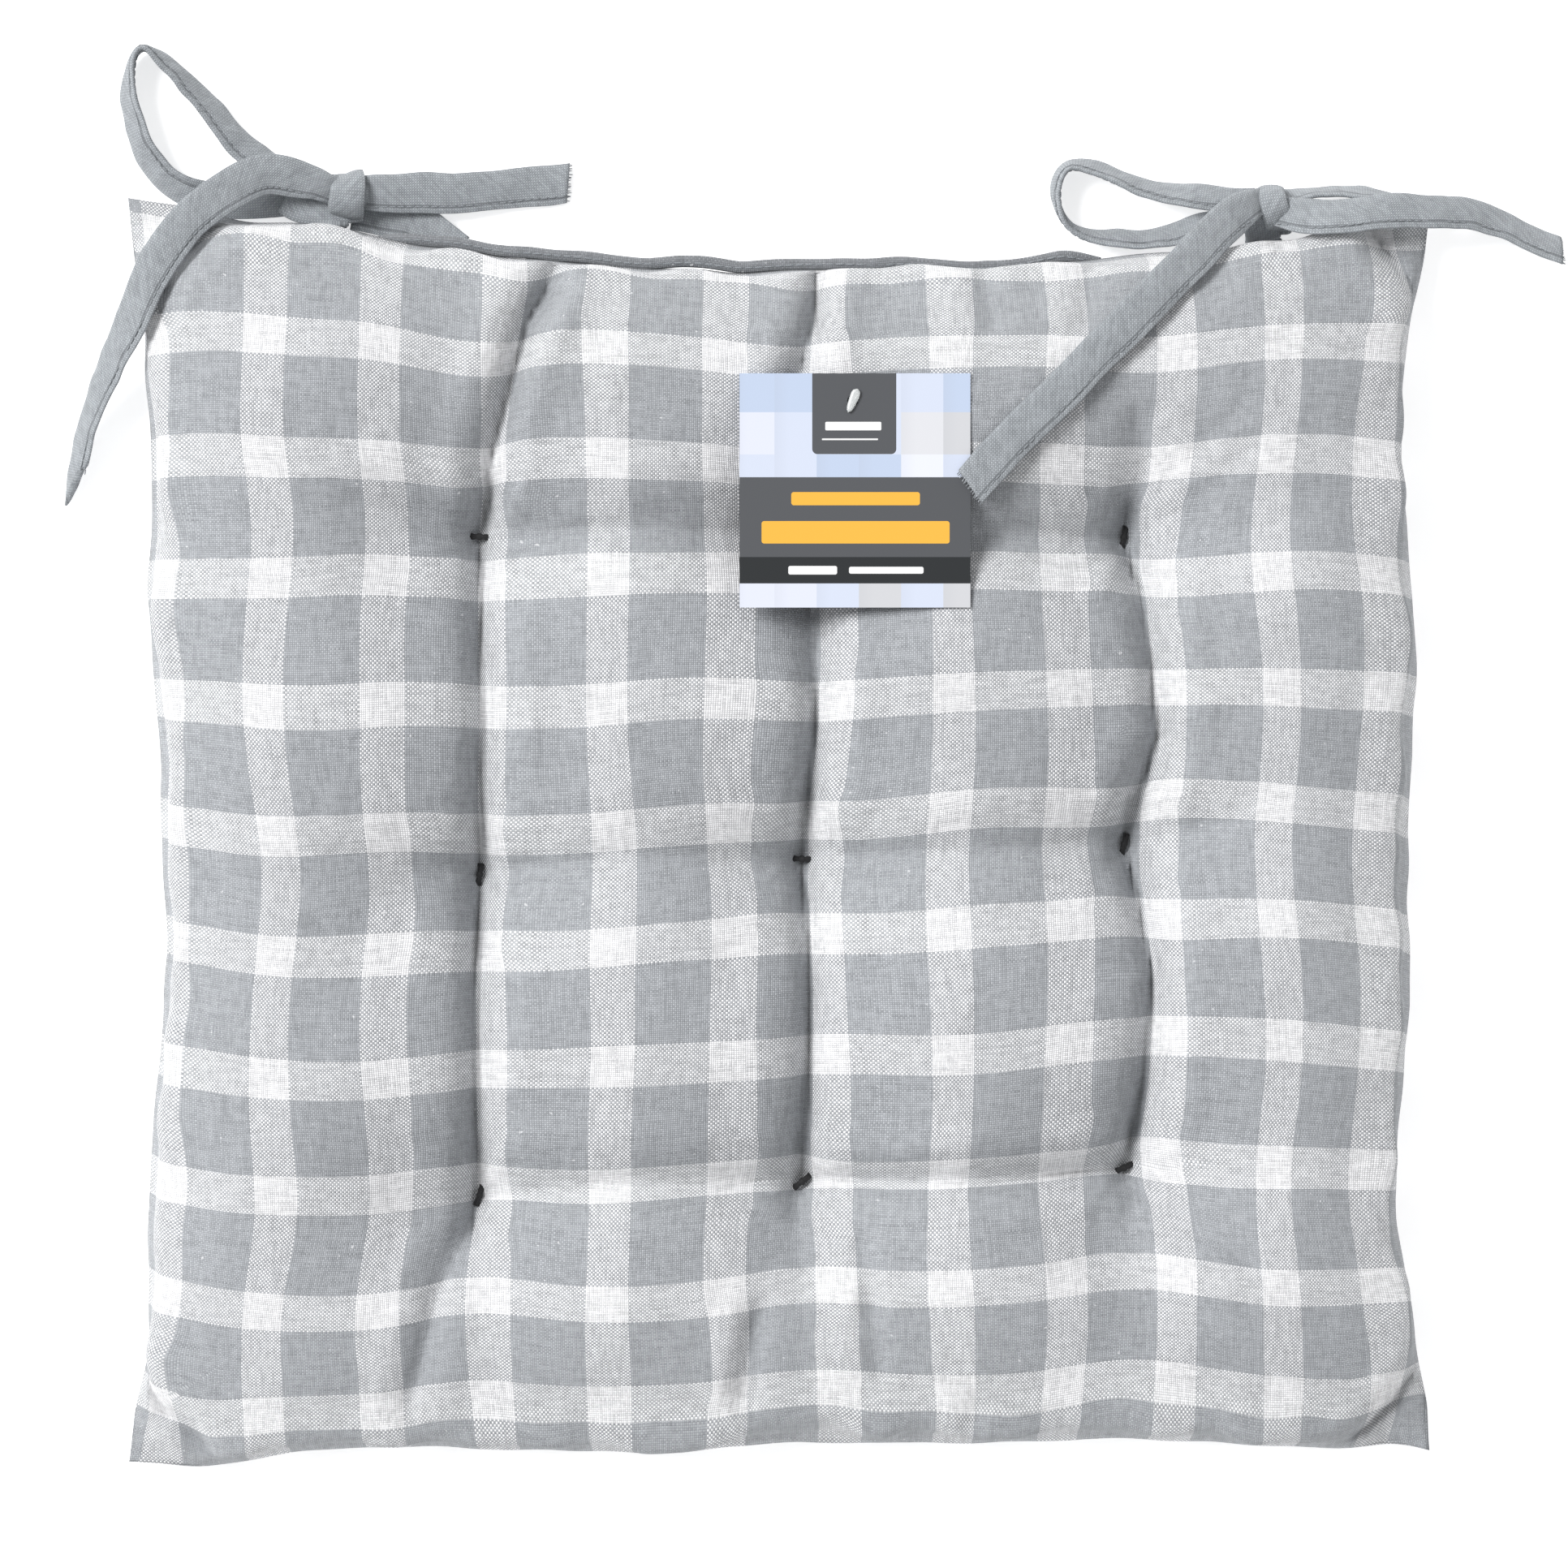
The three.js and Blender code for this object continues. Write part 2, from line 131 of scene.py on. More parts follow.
# Creases pulled into the top panel: points in plan (mm), depth (mm), width (mm).
CREASES = [
    ([(-65, 176), (-77, 155), (-87, 120), (-92, 88)], 9.5, 3.4),
    ([(11, 176), (11, 160), (6, 138), (7, 88)], 8.0, 3.2),
    ([(7, 92), (12, 48), (10, 20), (7, -11)], 8.5, 3.8),
    ([(7, -7), (9, -50), (7, -110)], 7.5, 3.8),
    ([(-92, 92), (-90, 30), (-92, -15)], 8.5, 3.8),
    ([(-92, -11), (-92, -60), (-92, -114)], 7.5, 4.0),
    ([(106, 92), (112, 68), (116, 30), (106, -6)], 9.0, 3.8),
    ([(106, -2), (114, -44), (112, -75), (106, -106)], 8.5, 4.0),
    ([(5, -108), (55, -107), (108, -104)], 8.0, 3.4),
    ([(-94, -112), (-42, -107), (9, -108)], 4.5, 4.4),
    ([(-94, -13), (-42, -7), (9, -9)], 3.2, 5.0),
    ([(5, -9), (57, -6), (108, -4)], 3.4, 5.0),
    ([(-94, 90), (-42, 92), (9, 90)], 4.0, 5.0),
    ([(55, 90), (108, 90)], 4.0, 5.0),
    ([(-87, 108), (-92, 90), (-91, 76)], 6.0, 2.2),
    ([(-92, 8), (-91, -12), (-93, -42)], 6.5, 2.2),
    ([(-93, -92), (-93, -112), (-95, -128)], 5.5, 2.2),
    ([(8, 14), (7, -9), (8, -26)], 5.0, 2.2),
    ([(5, -90), (7, -108), (4, -122)], 5.0, 2.2),
    ([(106, 104), (106, 90), (109, 74)], 6.0, 2.2),
    ([(108, 14), (106, -4), (110, -22)], 6.0, 2.2),
    ([(110, -86), (106, -104), (112, -116)], 5.0, 2.2),
    ([(-92, 84), (-91, 40), (-92, 4)], 3.6, 1.9),
    ([(-93, -30), (-93, -60), (-93, -98)], 4.0, 1.9),
    ([(9, 54), (11, 30), (8, 0)], 4.6, 1.9),
    ([(8, -18), (10, -50), (8, -98)], 4.6, 1.9),
    ([(110, 80), (113, 50), (115, 28), (108, 4)], 3.6, 2.0),
    ([(109, -14), (114, -44), (112, -72), (108, -98)], 4.0, 2.0),
    ([(-66, 170), (-78, 146), (-88, 112)], 3.0, 2.0),
    ([(12, 170), (11, 150)], 3.4, 2.0),
    ([(-92, -112), (-104, -140), (-114, -180)], 4.4, 3.0),
    ([(-5, -140), (-9, -178)], 3.0, 2.8),
    ([(27, -140), (31, -170)], 2.2, 2.8),
    ([(106, -104), (128, -122), (150, -138)], 3.0, 4.2),
    ([(106, -4), (128, 2), (146, 4)], 2.0, 4.2),
    ([(106, 90), (112, 112), (108, 130)], 3.5, 3.4),
    ([(62, 170), (65, 150)], 2.6, 2.6),
    ([(95, 172), (93, 150)], 2.2, 3.0),
    ([(-92, 90), (-118, 98), (-138, 100)], 2.0, 4.0),
    ([(-92, -13), (-120, -8), (-140, -6)], 2.0, 4.0),
    ([(60, -172), (57, -186)], 2.0, 2.4),
    ([(24, -122), (29, -150)], 2.6, 2.0),
    ([(-8, -146), (-13, -176)], 3.0, 2.2),
    ([(122, 92), (118, 62)], 1.8, 2.4),
    ([(-196, 158), (-184, 176), (-158, 192)], 8.0, 2.8),
    ([(196, 156), (190, 172), (178, 190)], 8.0, 2.8),
    ([(-197, -160), (-189, -178), (-172, -190)], 8.0, 2.6),
    ([(198, -160), (189, -176), (172, -190)], 8.0, 2.6),
]

# Where the sewn edge wanders off the fair curve of each side: place along it, distance outward
# and width (mm).
EDGE_WANDER = {
    "right": [(125, -4.2, 38), (45, 2.0, 25), (-110, -5.2, 34)],
    "left": [(68, 1.8, 30), (-30, -2.0, 40), (-156, -1.7, 24)],
    "rear": [(-135, 3.0, 34), (110, 2.8, 24)],
    "front": [(-169, 3.2, 22), (-45, 2.6, 45), (115, -2.4, 40), (190, -4.5, 16)],
}

# The filling: how many fine cells it stays short of the seam, how many its height looks around
# it, its clearance under and over the panels, and how far its sides draw in, as a share.
FILLING = {
    "short_of_seam": 10, "look_around": 3, "under": 0.0012, "over": 0.0010,
    "half_thickness": 0.0005, "draw_in": 0.022, "from": 0.70, "full_at": 0.92,
}
FILLING_STEP = 2

# How the bar of each tufting stitch lies, in degrees from the rear edge, tuft by tuft.
TUFT_TURNS = (-4, 10, 78, 82, -3, 75, 72, 38, 24)

# Half the length of a tufting stitch's bar, and the spacing and radius of its three threads.
TUFT_BAR = {"top": 0.0032, "bottom": 0.0030}
TUFT_LANE = 0.00062
TUFT_THREAD = 0.00042

# The rear stretch of the seam that was folded in and sewn shut last, and its topstitches.
LIP = {"start": -0.124, "end": 0.099, "depth": 0.0038, "thickness": 0.0018}
LIP_STITCH = {"length": 0.0022, "pitch": 0.0031, "margin": 0.002}

# Each strand of the two bows: the points that it follows with the tape's roll (x, y, z in mm,
# roll in degrees), which edge carries the stitches (-1 is left of travel), the hinge that it
# lifts about and the way it lies from there, and how its end is cut.
STRANDS = {
    "left_front_tail": {
        "route": [
            (-133, 195, 10, 0), (-138.5, 197, 12.5, 0), (-144, 199, 14, 0), (-157, 201, 17.5, 0),
            (-169, 195.5, 21.5, 0), (-182, 184.5, 24.5, -5), (-191.5, 170, 25.5, -15),
            (-198.5, 155, 21.5, -32), (-206, 140, 14.5, -46), (-212.5, 125, 9.2, -56),
            (-215.5, 113, 7.2, -60), (-216.5, 106.5, 6.8, -64),
        ],
        "stitched": -1, "hinge": (-144, 199, 15.2), "towards": (-1, 0, 0), "slant": 15,
    },
    "left_side_tail": {
        "route": [
            (-139, 195, 8, 0), (-131, 195.3, 9, 0), (-123.5, 195.6, 9.2, 0), (-112, 195.8, 7.6, 0),
            (-100, 196, 6, 0), (-88, 197, 3.6, 0), (-76, 198.5, 1.8, 0), (-65, 199.5, 1.2, 0),
        ],
        "stitched": 1, "hinge": (-123.5, 195.6, 10.2), "towards": (1, 0, 0), "slant": -2,
    },
    "left_loop": {
        "route": [
            (-134, 196, 7.5, -10), (-143, 197, 7, -16), (-154, 201.5, 6.5, -26),
            (-165, 210.3, 6.2, -38), (-174, 220.7, 6.2, -48), (-183.5, 231, 6.2, -60),
            (-191, 238, 6.4, -76), (-196, 240.5, 6.8, -88), (-199.3, 235.5, 6.6, -78),
            (-200, 225, 6.2, -60), (-195.5, 209, 6.2, -48), (-186.5, 198.5, 6.2, -38),
            (-173, 193.6, 6, -24), (-156, 193.4, 6.2, -12), (-145, 193.9, 6.8, -6),
            (-137, 194.2, 7.4, 0),
        ],
        "stitched": -1, "hinge": (-175.75, 204.4, 11), "towards": (-0.481, 0.877, 0), "slant": 0,
    },
    "right_front_tail": {
        "route": [
            (150, 193.5, 14, 0), (144.5, 191.4, 21, 0), (137, 186, 27, 0), (128.5, 177, 33.5, 0),
            (117, 165, 38.5, 0), (105, 152.5, 42, 0), (92, 140, 44.2, 0), (80, 127.5, 45.4, 0),
            (68.5, 116, 46.2, 0), (58, 104, 46.6, 0),
        ],
        "stitched": -1, "hinge": (137, 186, 28.2), "towards": (-0.683, -0.73, 0), "slant": -3,
    },
    "right_side_tail": {
        "route": [
            (147, 190, 12, 0), (154, 189.5, 17.5, 10), (161, 187.8, 21.5, 20),
            (170, 187.5, 24, 30), (184.5, 189.3, 23, 30), (199.5, 189.5, 18.5, 30),
            (212, 189, 12.5, 35), (222, 186.3, 9, 42), (232, 181.8, 6.6, 48),
            (240.6, 178, 5.8, 50),
        ],
        "stitched": 1, "hinge": (161, 187.8, 24.5), "towards": (1, 0, 0), "slant": 3,
    },
    "right_loop": {
        "route": [
            (146, 193, 12, -15), (137, 193.5, 12.5, -25), (128, 194.5, 11.5, -40),
            (118, 195.8, 10, -52), (109, 198.5, 8.6, -60), (98, 203, 7.2, -66),
            (90, 204.5, 6.8, -72), (86, 201, 6.7, -78), (85.3, 194, 6.7, -84),
            (87.5, 187.5, 6.7, -95), (95, 183, 6.9, -113), (109, 181.8, 8.4, -125),
            (119, 182.4, 9.6, -130), (128, 184.8, 10.6, -138), (137, 187.5, 11.5, -150),
            (145, 190, 12, -160),
        ],
        "stitched": -1, "hinge": (109, 190, 14.5), "towards": (-1, 0, 0), "slant": 0,
    },
}

# The short starts of the ties, between the seam and the knots.
ROOTS = {
    "left_inner_root": [
        (-131, 191, 4.5, 0), (-122, 189.3, 3.2, 0), (-113.5, 187.5, 3.6, 0),
        (-106, 182.8, 4.6, 0), (-99, 177.5, 6.0, 0),
    ],
    "left_outer_root": [
        (-138.5, 193, 1.2, 0), (-138.7, 188.8, 1.6, 0), (-139, 186, 6, 0), (-139, 185.9, 11.5, 0),
    ],
    "right_inner_root": [
        (150, 190, 2, 0), (150, 186.4, 2.6, 0), (150, 184.6, 7, 0), (150, 183.9, 11.5, 0),
    ],
    "right_outer_root": [
        (154, 194, 11, 66), (163, 195.5, 10, 72), (174, 196, 9.5, 74), (184, 195, 9.5, 72),
        (192, 192, 9.5, 66),
    ],
}

CAMERA_HEIGHT = 2.6
CAMERA_AT = (0.0015, 0.014)
CAMERA_LENS = 0.1935
SENSOR_WIDTH = 36
KEY_LIGHT = {"strength": 3.2, "angle": 0.45, "place": (-1.35, 0.75, 1.75)}
SKY_STRENGTH = 0.60
FLOOR = {"size": 8, "height": -0.0004, "glow": 0.5}

# --- Building helpers ----------------------------------------------------------------------------


def smoothstep(value, low, high):
    t = np.clip((value - low) / (high - low), 0.0, 1.0)
    return t * t * (3 - 2 * t)


def ripple(points, size, seed):
    """Smooth noise from -1 to 1 at each point, for features of about the given size."""
    offset = Vector((seed * 7.3, seed * 3.1, seed * 5.7))
    return np.array([noise.noise(Vector(p) / size + offset) for p in points])


def between(a, b, c, d, t):
    """A Catmull-Rom curve's value a share t of the way from b to c, with neighbours a and d."""
    return 0.5 * (2 * b + (c - a) * t + (2 * a - 5 * b + 4 * c - d) * t**2
                  + (3 * b - a - 3 * c + d) * t**3)


def ring_faces(rings, sides):
    """Faces of a closed tube whose rings of vertices follow each other."""
    faces = []
    for i in range(rings - 1):
        for k in range(sides):
            n = (k + 1) % sides
            faces.append((i * sides + k, i * sides + n, (i + 1) * sides + n, (i + 1) * sides + k))
    faces.append(tuple(range(sides - 1, -1, -1)))
    faces.append(tuple((rings - 1) * sides + k for k in range(sides)))
    return faces


def add_piece(name, verts, faces, material, body, uvs=None, face_slots=None, extra=()):
    """Makes a smooth-shaded mesh object that rides on a body, if one is named. uvs has one pair
    a vertex."""
    mesh = bpy.data.meshes.new(name)
    mesh.from_pydata([tuple(v) for v in verts], [], [tuple(f) for f in faces])
    mesh.materials.append(material)
    for other in extra:
        mesh.materials.append(other)
    if face_slots is not None:
        mesh.polygons.foreach_set("material_index", face_slots)
    mesh.polygons.foreach_set("use_smooth", [True] * len(mesh.polygons))
    if uvs is not None:
        layer = mesh.uv_layers.new(name="cloth")
        corners = np.empty(len(mesh.loops), dtype=np.int32)
        mesh.loops.foreach_get("vertex_index", corners)
        layer.data.foreach_set("uv", np.asarray(uvs, dtype=np.float32)[corners].ravel())
    mesh.validate()
    piece = bpy.data.objects.new(name, mesh)
    bpy.context.scene.collection.objects.link(piece)
    if body:
        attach(piece, body)
    return piece


# --- Materials -----------------------------------------------------------------------------------


class Nodes:
    """A material's node tree, with short calls for the arithmetic that patterns are made of."""

    def __init__(self, name):
        self.material = bpy.data.materials.new(name)
        self.material.use_nodes = True
        self.tree = self.material.node_tree
        self.shader = self.tree.nodes["Principled BSDF"]

    def add(self, kind, **settings):
        node = self.tree.nodes.new(kind)
        for key, value in settings.items():
            setattr(node, key, value)
        return node

    def put(self, socket, value):
        """Links a socket's value, or sets it if it is a number or colour."""
        if isinstance(value, bpy.types.NodeSocket):
            self.tree.links.new(value, socket)
        else:
            socket.default_value = value

    def math(self, operation, *values):
        node = self.add("ShaderNodeMath", operation=operation)
        for socket, value in zip(node.inputs, values):
            self.put(socket, value)
        return node.outputs[0]

    def mix(self, share, a, b):
        node = self.add("ShaderNodeMix", data_type="RGBA")
        self.put(node.inputs["Factor"], share)
        self.put(node.inputs["A"], a)
        self.put(node.inputs["B"], b)
        return node.outputs["Result"]

    def uv(self):
        node = self.add("ShaderNodeUVMap", uv_map="cloth")
        split = self.add("ShaderNodeSeparateXYZ")
        self.put(split.inputs[0], node.outputs[0])
        return split.outputs[0], split.outputs[1]

    def at(self, x, y, z=0.0):
        node = self.add("ShaderNodeCombineXYZ")
        for socket, value in zip(node.inputs, (x, y, z)):
            self.put(socket, value)
        return node.outputs[0]

    def noise(self, vector, scale, detail=2.0):
        node = self.add("ShaderNodeTexNoise")
        self.put(node.inputs["Vector"], vector)
        node.inputs["Scale"].default_value = scale
        node.inputs["Detail"].default_value = detail
        return node.outputs[0]

    def ramp(self, value, low, high, start, end):
        node = self.add("ShaderNodeMapRange")
        for socket, number in zip(node.inputs, (value, low, high, start, end)):
            self.put(socket, number)
        return node.outputs[0]

    def bump(self, height, distance, strength=1.0):
        node = self.add("ShaderNodeBump")
        node.inputs["Distance"].default_value = distance
        node.inputs["Strength"].default_value = strength
        self.put(node.inputs["Height"], height)
        self.put(self.shader.inputs["Normal"], node.outputs[0])


def linear(red, green, blue, gain=1.0):
    """A colour given as 0 to 255 display values, made darker by gain."""
    return tuple(gain * ((c / 255 + 0.055) / 1.055) ** 2.4 for c in (red, green, blue)) + (1.0,)


def ink(red, green, blue):
    """A printed colour, which the bright studio light lifts to the given display values."""
    return linear(red, green, blue, 0.82)


GREY_WARP = linear(184, 187, 191)
GREY_WEFT = linear(172, 175, 180)
WHITE_YARN = linear(250, 250, 252)
TAPE_GREY = linear(180, 185, 190)
CLOTH_SHADE = (0.06, 0.065, 0.07, 1.0)
TAPE_SHADE = (0.05, 0.055, 0.06, 1.0)


def weave(nodes, u, v, pitch):
    """Plain weave over the plane u, v: 1 where the lengthways yarn is on top, the height of the
    cloth, and the unevenness of the yarns each way."""
    across = nodes.math("DIVIDE", u, pitch)
    along = nodes.math("DIVIDE", v, pitch)
    column = nodes.math("FLOOR", across)
    row = nodes.math("FLOOR", along)
    total = nodes.math("ADD", column, row)
    lengthways = nodes.math("PINGPONG", total, 1.0)
    swell = []
    for value in (across, along):
        centred = nodes.math("SUBTRACT", nodes.math("FRACT", value), 0.5)
        swell.append(nodes.math("COSINE", nodes.math("MULTIPLY", centred, math.pi)))
    height = nodes.math("POWER", nodes.math("MULTIPLY", *swell), 0.6)
    slub_length = 14.0
    warp_place = nodes.at(nodes.math("MULTIPLY", column, 3.7), nodes.math("DIVIDE", along, slub_length))
    weft_place = nodes.at(nodes.math("DIVIDE", across, slub_length), nodes.math("MULTIPLY", row, 3.7), 9.0)
    warp_noise = nodes.noise(warp_place, 1.0, 1.0)
    weft_noise = nodes.noise(weft_place, 1.0, 1.0)
    return lengthways, height, warp_noise, weft_noise


def stripe(nodes, value, axis):
    """1 inside the white stripes of the check."""
    start = STRIPE_WIDTH[axis] / 2 - CHECK_CENTRE[axis]
    shifted = nodes.math("ADD", value, start)
    place = nodes.math("WRAP", shifted, CHECK_PITCH[axis], 0.0)
    return nodes.math("LESS_THAN", place, STRIPE_WIDTH[axis])


def finish_cotton(nodes, colour, height):
    """The matt, slightly furry surface of woven cotton, with its yarns raised."""
    nodes.put(nodes.shader.inputs["Base Color"], colour)
    nodes.shader.inputs["Roughness"].default_value = 0.95
    nodes.shader.inputs["Specular IOR Level"].default_value = 0.2
    nodes.shader.inputs["Sheen Weight"].default_value = 0.15
    nodes.shader.inputs["Sheen Roughness"].default_value = 0.5
    nodes.bump(height, 0.00022, 0.8)
    return nodes.material


def check_cotton(name, striped, depth=1.0):
    """The cover's cloth. The folded lip shows only its grey ground, which depth darkens as painted shade
    for the shadow of its folds.
    """
    nodes = Nodes(name)
    u, v = nodes.uv()
    lengthways, height, warp_noise, weft_noise = weave(nodes, u, v, YARN)
    warp, weft = GREY_WARP, GREY_WEFT
    if striped:
        warp = nodes.mix(stripe(nodes, u, 0), GREY_WARP, WHITE_YARN)
        weft = nodes.mix(stripe(nodes, v, 1), GREY_WEFT, WHITE_YARN)
    woven = nodes.mix(lengthways, weft, warp)
    yarn_noise = nodes.add("ShaderNodeMix", data_type="FLOAT")
    nodes.put(yarn_noise.inputs["Factor"], lengthways)
    nodes.put(yarn_noise.inputs["A"], weft_noise)
    nodes.put(yarn_noise.inputs["B"], warp_noise)
    shade = nodes.ramp(yarn_noise.outputs["Result"], 0.3, 0.7, 0.72, 1.12)
    gap_shade = nodes.ramp(height, 0.0, 1.0, 0.58, 1.08)
    neps = nodes.noise(nodes.at(u, v), 520.0, 1.0)
    speck = nodes.ramp(neps, 0.74, 0.80, 0.0, 0.45)
    mottle = nodes.ramp(nodes.noise(nodes.at(u, v), 430.0, 3.0), 0.3, 0.7, 0.86, 1.10)
    tone = nodes.math("MULTIPLY", nodes.math("MULTIPLY", shade, gap_shade), mottle)
    # Painted shade: depth below 1 darkens the whole cloth, for cloth that lies in the shadow of its folds.
    tone = nodes.math("MULTIPLY", tone, depth)
    toned = nodes.mix(tone, CLOTH_SHADE, woven)
    return finish_cotton(nodes, nodes.mix(speck, toned, WHITE_YARN), height)


def tie_tape():
    """Plain-woven cotton cut on the bias, so that its yarns run at 45 degrees to the tape. The line
    of stitches is darkened with painted shade, at its distance from the stitched edge, and so are
    the low places between the yarns."""
    nodes = Nodes("tie_tape")
    u, v = nodes.uv()
    across = nodes.math("MULTIPLY", nodes.math("ADD", u, v), math.sqrt(0.5))
    along = nodes.math("MULTIPLY", nodes.math("SUBTRACT", u, v), math.sqrt(0.5))
    lengthways, height, warp_noise, _ = weave(nodes, across, along, YARN * 0.95)
    mottle = nodes.noise(nodes.at(u, v), 420.0, 4.0)
    rib = nodes.ramp(lengthways, 0.0, 1.0, 0.74, 1.02)
    shade = nodes.ramp(warp_noise, 0.3, 0.7, 0.78, 1.06)
    # Painted shade: the tape is darker where its weave lies low, between the yarns.
    depth = nodes.ramp(height, 0.0, 1.0, 0.60, 1.04)
    wear_and_stitch_shade = nodes.ramp(mottle, 0.3, 0.7, 0.84, 1.08)
    # Painted shade along the line of stitches, which lies in the groove near the stitched edge.
    off_line = nodes.math("ABSOLUTE", nodes.math("SUBTRACT", v, STITCH_INSET + 0.0002))
    stitch_line_shade = nodes.ramp(off_line, 0.0002, 0.0006, 0.52, 1.0)
    wear_and_stitch_shade = nodes.math("MULTIPLY", wear_and_stitch_shade, stitch_line_shade)
    tone = nodes.math("MULTIPLY", nodes.math("MULTIPLY", rib, shade), nodes.math("MULTIPLY", depth, wear_and_stitch_shade))
    colour = nodes.mix(tone, TAPE_SHADE, TAPE_GREY)
    return finish_cotton(nodes, colour, height)


def thread(name, colour, sheen):
    """Twisted thread: fine slanting ridges from a wave over the object's own place."""
    nodes = Nodes(name)
    place = nodes.add("ShaderNodeTexCoord").outputs["Object"]
    wave = nodes.add("ShaderNodeTexWave", bands_direction="DIAGONAL")
    nodes.put(wave.inputs["Vector"], place)
    wave.inputs["Scale"].default_value = 900.0
    wave.inputs["Distortion"].default_value = 1.5
    # Painted shade: the grooves between the ridges are darker than the thread's own colour.
    dark = tuple(c * 0.55 for c in colour[:3]) + (1.0,)
    nodes.put(nodes.shader.inputs["Base Color"], nodes.mix(wave.outputs["Fac"], dark, colour))
    nodes.shader.inputs["Roughness"].default_value = 0.7
    nodes.shader.inputs["Sheen Weight"].default_value = sheen
    nodes.bump(wave.outputs["Fac"], 0.0001, 0.6)
    return nodes.material


def polyester_fibre():
    nodes = Nodes("polyester_fibre")
    place = nodes.add("ShaderNodeTexCoord").outputs["Object"]
    fluff = nodes.noise(place, 220.0, 6.0)
    nodes.put(
        nodes.shader.inputs["Base Color"],
        nodes.mix(fluff, (0.72, 0.71, 0.68, 1.0), (0.95, 0.94, 0.92, 1.0)),
    )
    nodes.shader.inputs["Roughness"].default_value = 1.0
    nodes.shader.inputs["Sheen Weight"].default_value = 0.3
    nodes.bump(fluff, 0.003, 1.0)
    return nodes.material


def clear_plastic():
    nodes = Nodes("clear_plastic")
    place = nodes.add("ShaderNodeTexCoord").outputs["Object"]
    haze = nodes.noise(place, 600.0, 2.0)
    colour = nodes.mix(haze, linear(228, 232, 232), linear(246, 248, 248))
    nodes.put(nodes.shader.inputs["Base Color"], colour)
    nodes.shader.inputs["Roughness"].default_value = 0.18
    nodes.shader.inputs["IOR"].default_value = 1.49
    nodes.shader.inputs["Transmission Weight"].default_value = 0.45
    nodes.bump(haze, 0.0001, 0.2)
    return nodes.material


def inside(nodes, x, y, centre, size, corner=0.0):
    """1 inside a rectangle with rounded corners, in metres."""
    spans = []
    for value, middle, whole in ((x, centre[0], size[0]), (y, centre[1], size[1])):
        off = nodes.math("ABSOLUTE", nodes.math("SUBTRACT", value, middle))
        spans.append(nodes.math("MAXIMUM", nodes.math("SUBTRACT", off, whole / 2 - corner), 0.0))
    squares = [nodes.math("MULTIPLY", span, span) for span in spans]
    distance = nodes.math("SQRT", nodes.math("ADD", *squares))
    return nodes.math("LESS_THAN", distance, max(corner, 0.00001))


def tag_paper():
    """The printed card: a mosaic of pale squares, a dark tab, a dark band and plain bars for text."""
    nodes = Nodes("tag_paper")
    low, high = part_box("tag_card")
    left, top = low[0], high[1]
    place = nodes.add("ShaderNodeSeparateXYZ")
    nodes.put(place.inputs[0], nodes.add("ShaderNodeTexCoord").outputs["Object"])
    x = nodes.math("SUBTRACT", place.outputs[0], left)
    y = nodes.math("SUBTRACT", top, place.outputs[1])
    cell, cell_shift = 0.0128, (0.0022, 0.0010)
    across = nodes.math("DIVIDE", nodes.math("ADD", x, cell_shift[0]), cell)
    along = nodes.math("DIVIDE", nodes.math("ADD", y, cell_shift[1]), cell)
    column = nodes.math("FLOOR", across)
    row = nodes.math("FLOOR", along)
    chance = nodes.add("ShaderNodeTexWhiteNoise", noise_dimensions="2D")
    nodes.put(chance.inputs["Vector"], nodes.at(column, row))
    tiles = nodes.add("ShaderNodeValToRGB")
    tiles.color_ramp.interpolation = "CONSTANT"
    shades = [ink(228, 232, 245), ink(212, 213, 217), ink(236, 239, 249),
              ink(216, 224, 242), ink(226, 227, 232), ink(196, 210, 234)]
    ramp = tiles.color_ramp.elements
    ramp[0].color = shades[0]
    ramp[1].position = 0.99
    ramp[1].color = shades[-1]
    for step, shade in enumerate(shades[1:], start=1):
        ramp.new(step / len(shades)).color = shade
    nodes.put(tiles.inputs[0], chance.outputs["Value"])
    within = nodes.math("FRACT", across)
    soft_edge = nodes.ramp(within, 0.0, 0.35, 0.86, 1.0)
    colour = nodes.mix(soft_edge, ink(176, 180, 190), tiles.outputs[0])
    dark, black, amber, white = ink(84, 86, 90), ink(30, 34, 37), ink(247, 187, 66), ink(245, 245, 245)
    width = 0.070
    print_jobs = [
        ((width / 2 - 0.0002, 0.0110), (0.0255, 0.0270), 0.0016, dark),
        ((width / 2 - 0.0005, 0.0160), (0.0170, 0.0026), 0.0004, white),
        ((width / 2 - 0.0015, 0.0200), (0.0170, 0.0005), 0.0002, white),
        ((width / 2, 0.0437), (width, 0.0244), 0.0, dark),
        ((width / 2 + 0.0002, 0.0380), (0.0390, 0.0040), 0.0008, amber),
        ((width / 2 + 0.0002, 0.0482), (0.0570, 0.0068), 0.0008, amber),
        ((width / 2, 0.0597), (width, 0.0080), 0.0, black),
        ((0.0222, 0.0597), (0.0148, 0.0026), 0.0006, white),
        ((0.0445, 0.0597), (0.0226, 0.0021), 0.0006, white),
    ]
    for centre, size, corner, printed in print_jobs:
        colour = nodes.mix(inside(nodes, x, y, centre, size, corner), colour, printed)
    nodes.put(nodes.shader.inputs["Base Color"], colour)
    nodes.shader.inputs["Roughness"].default_value = 0.35
    nodes.bump(nodes.noise(nodes.at(x, y), 2500.0), 0.00004, 0.3)
    return nodes.material


COTTON = check_cotton("check_cotton", striped=True)
# The lip's cloth is the grey ground darkened to 0.55 by depth, as painted shade for the shadow of its
# folds.
LIP_COTTON_PAINTED_SHADE = check_cotton("lip_cotton_painted_shade", striped=False, depth=0.55)
TAPE = tie_tape()
GREY_THREAD = thread("grey_thread", linear(150, 155, 160), 0.2)
BLACK_THREAD = thread("black_thread", linear(30, 30, 32), 0.1)
FIBRE = polyester_fibre()
PLASTIC = clear_plastic()
CARD = tag_paper()

# --- Camera, light and floor ---------------------------------------------------------------------


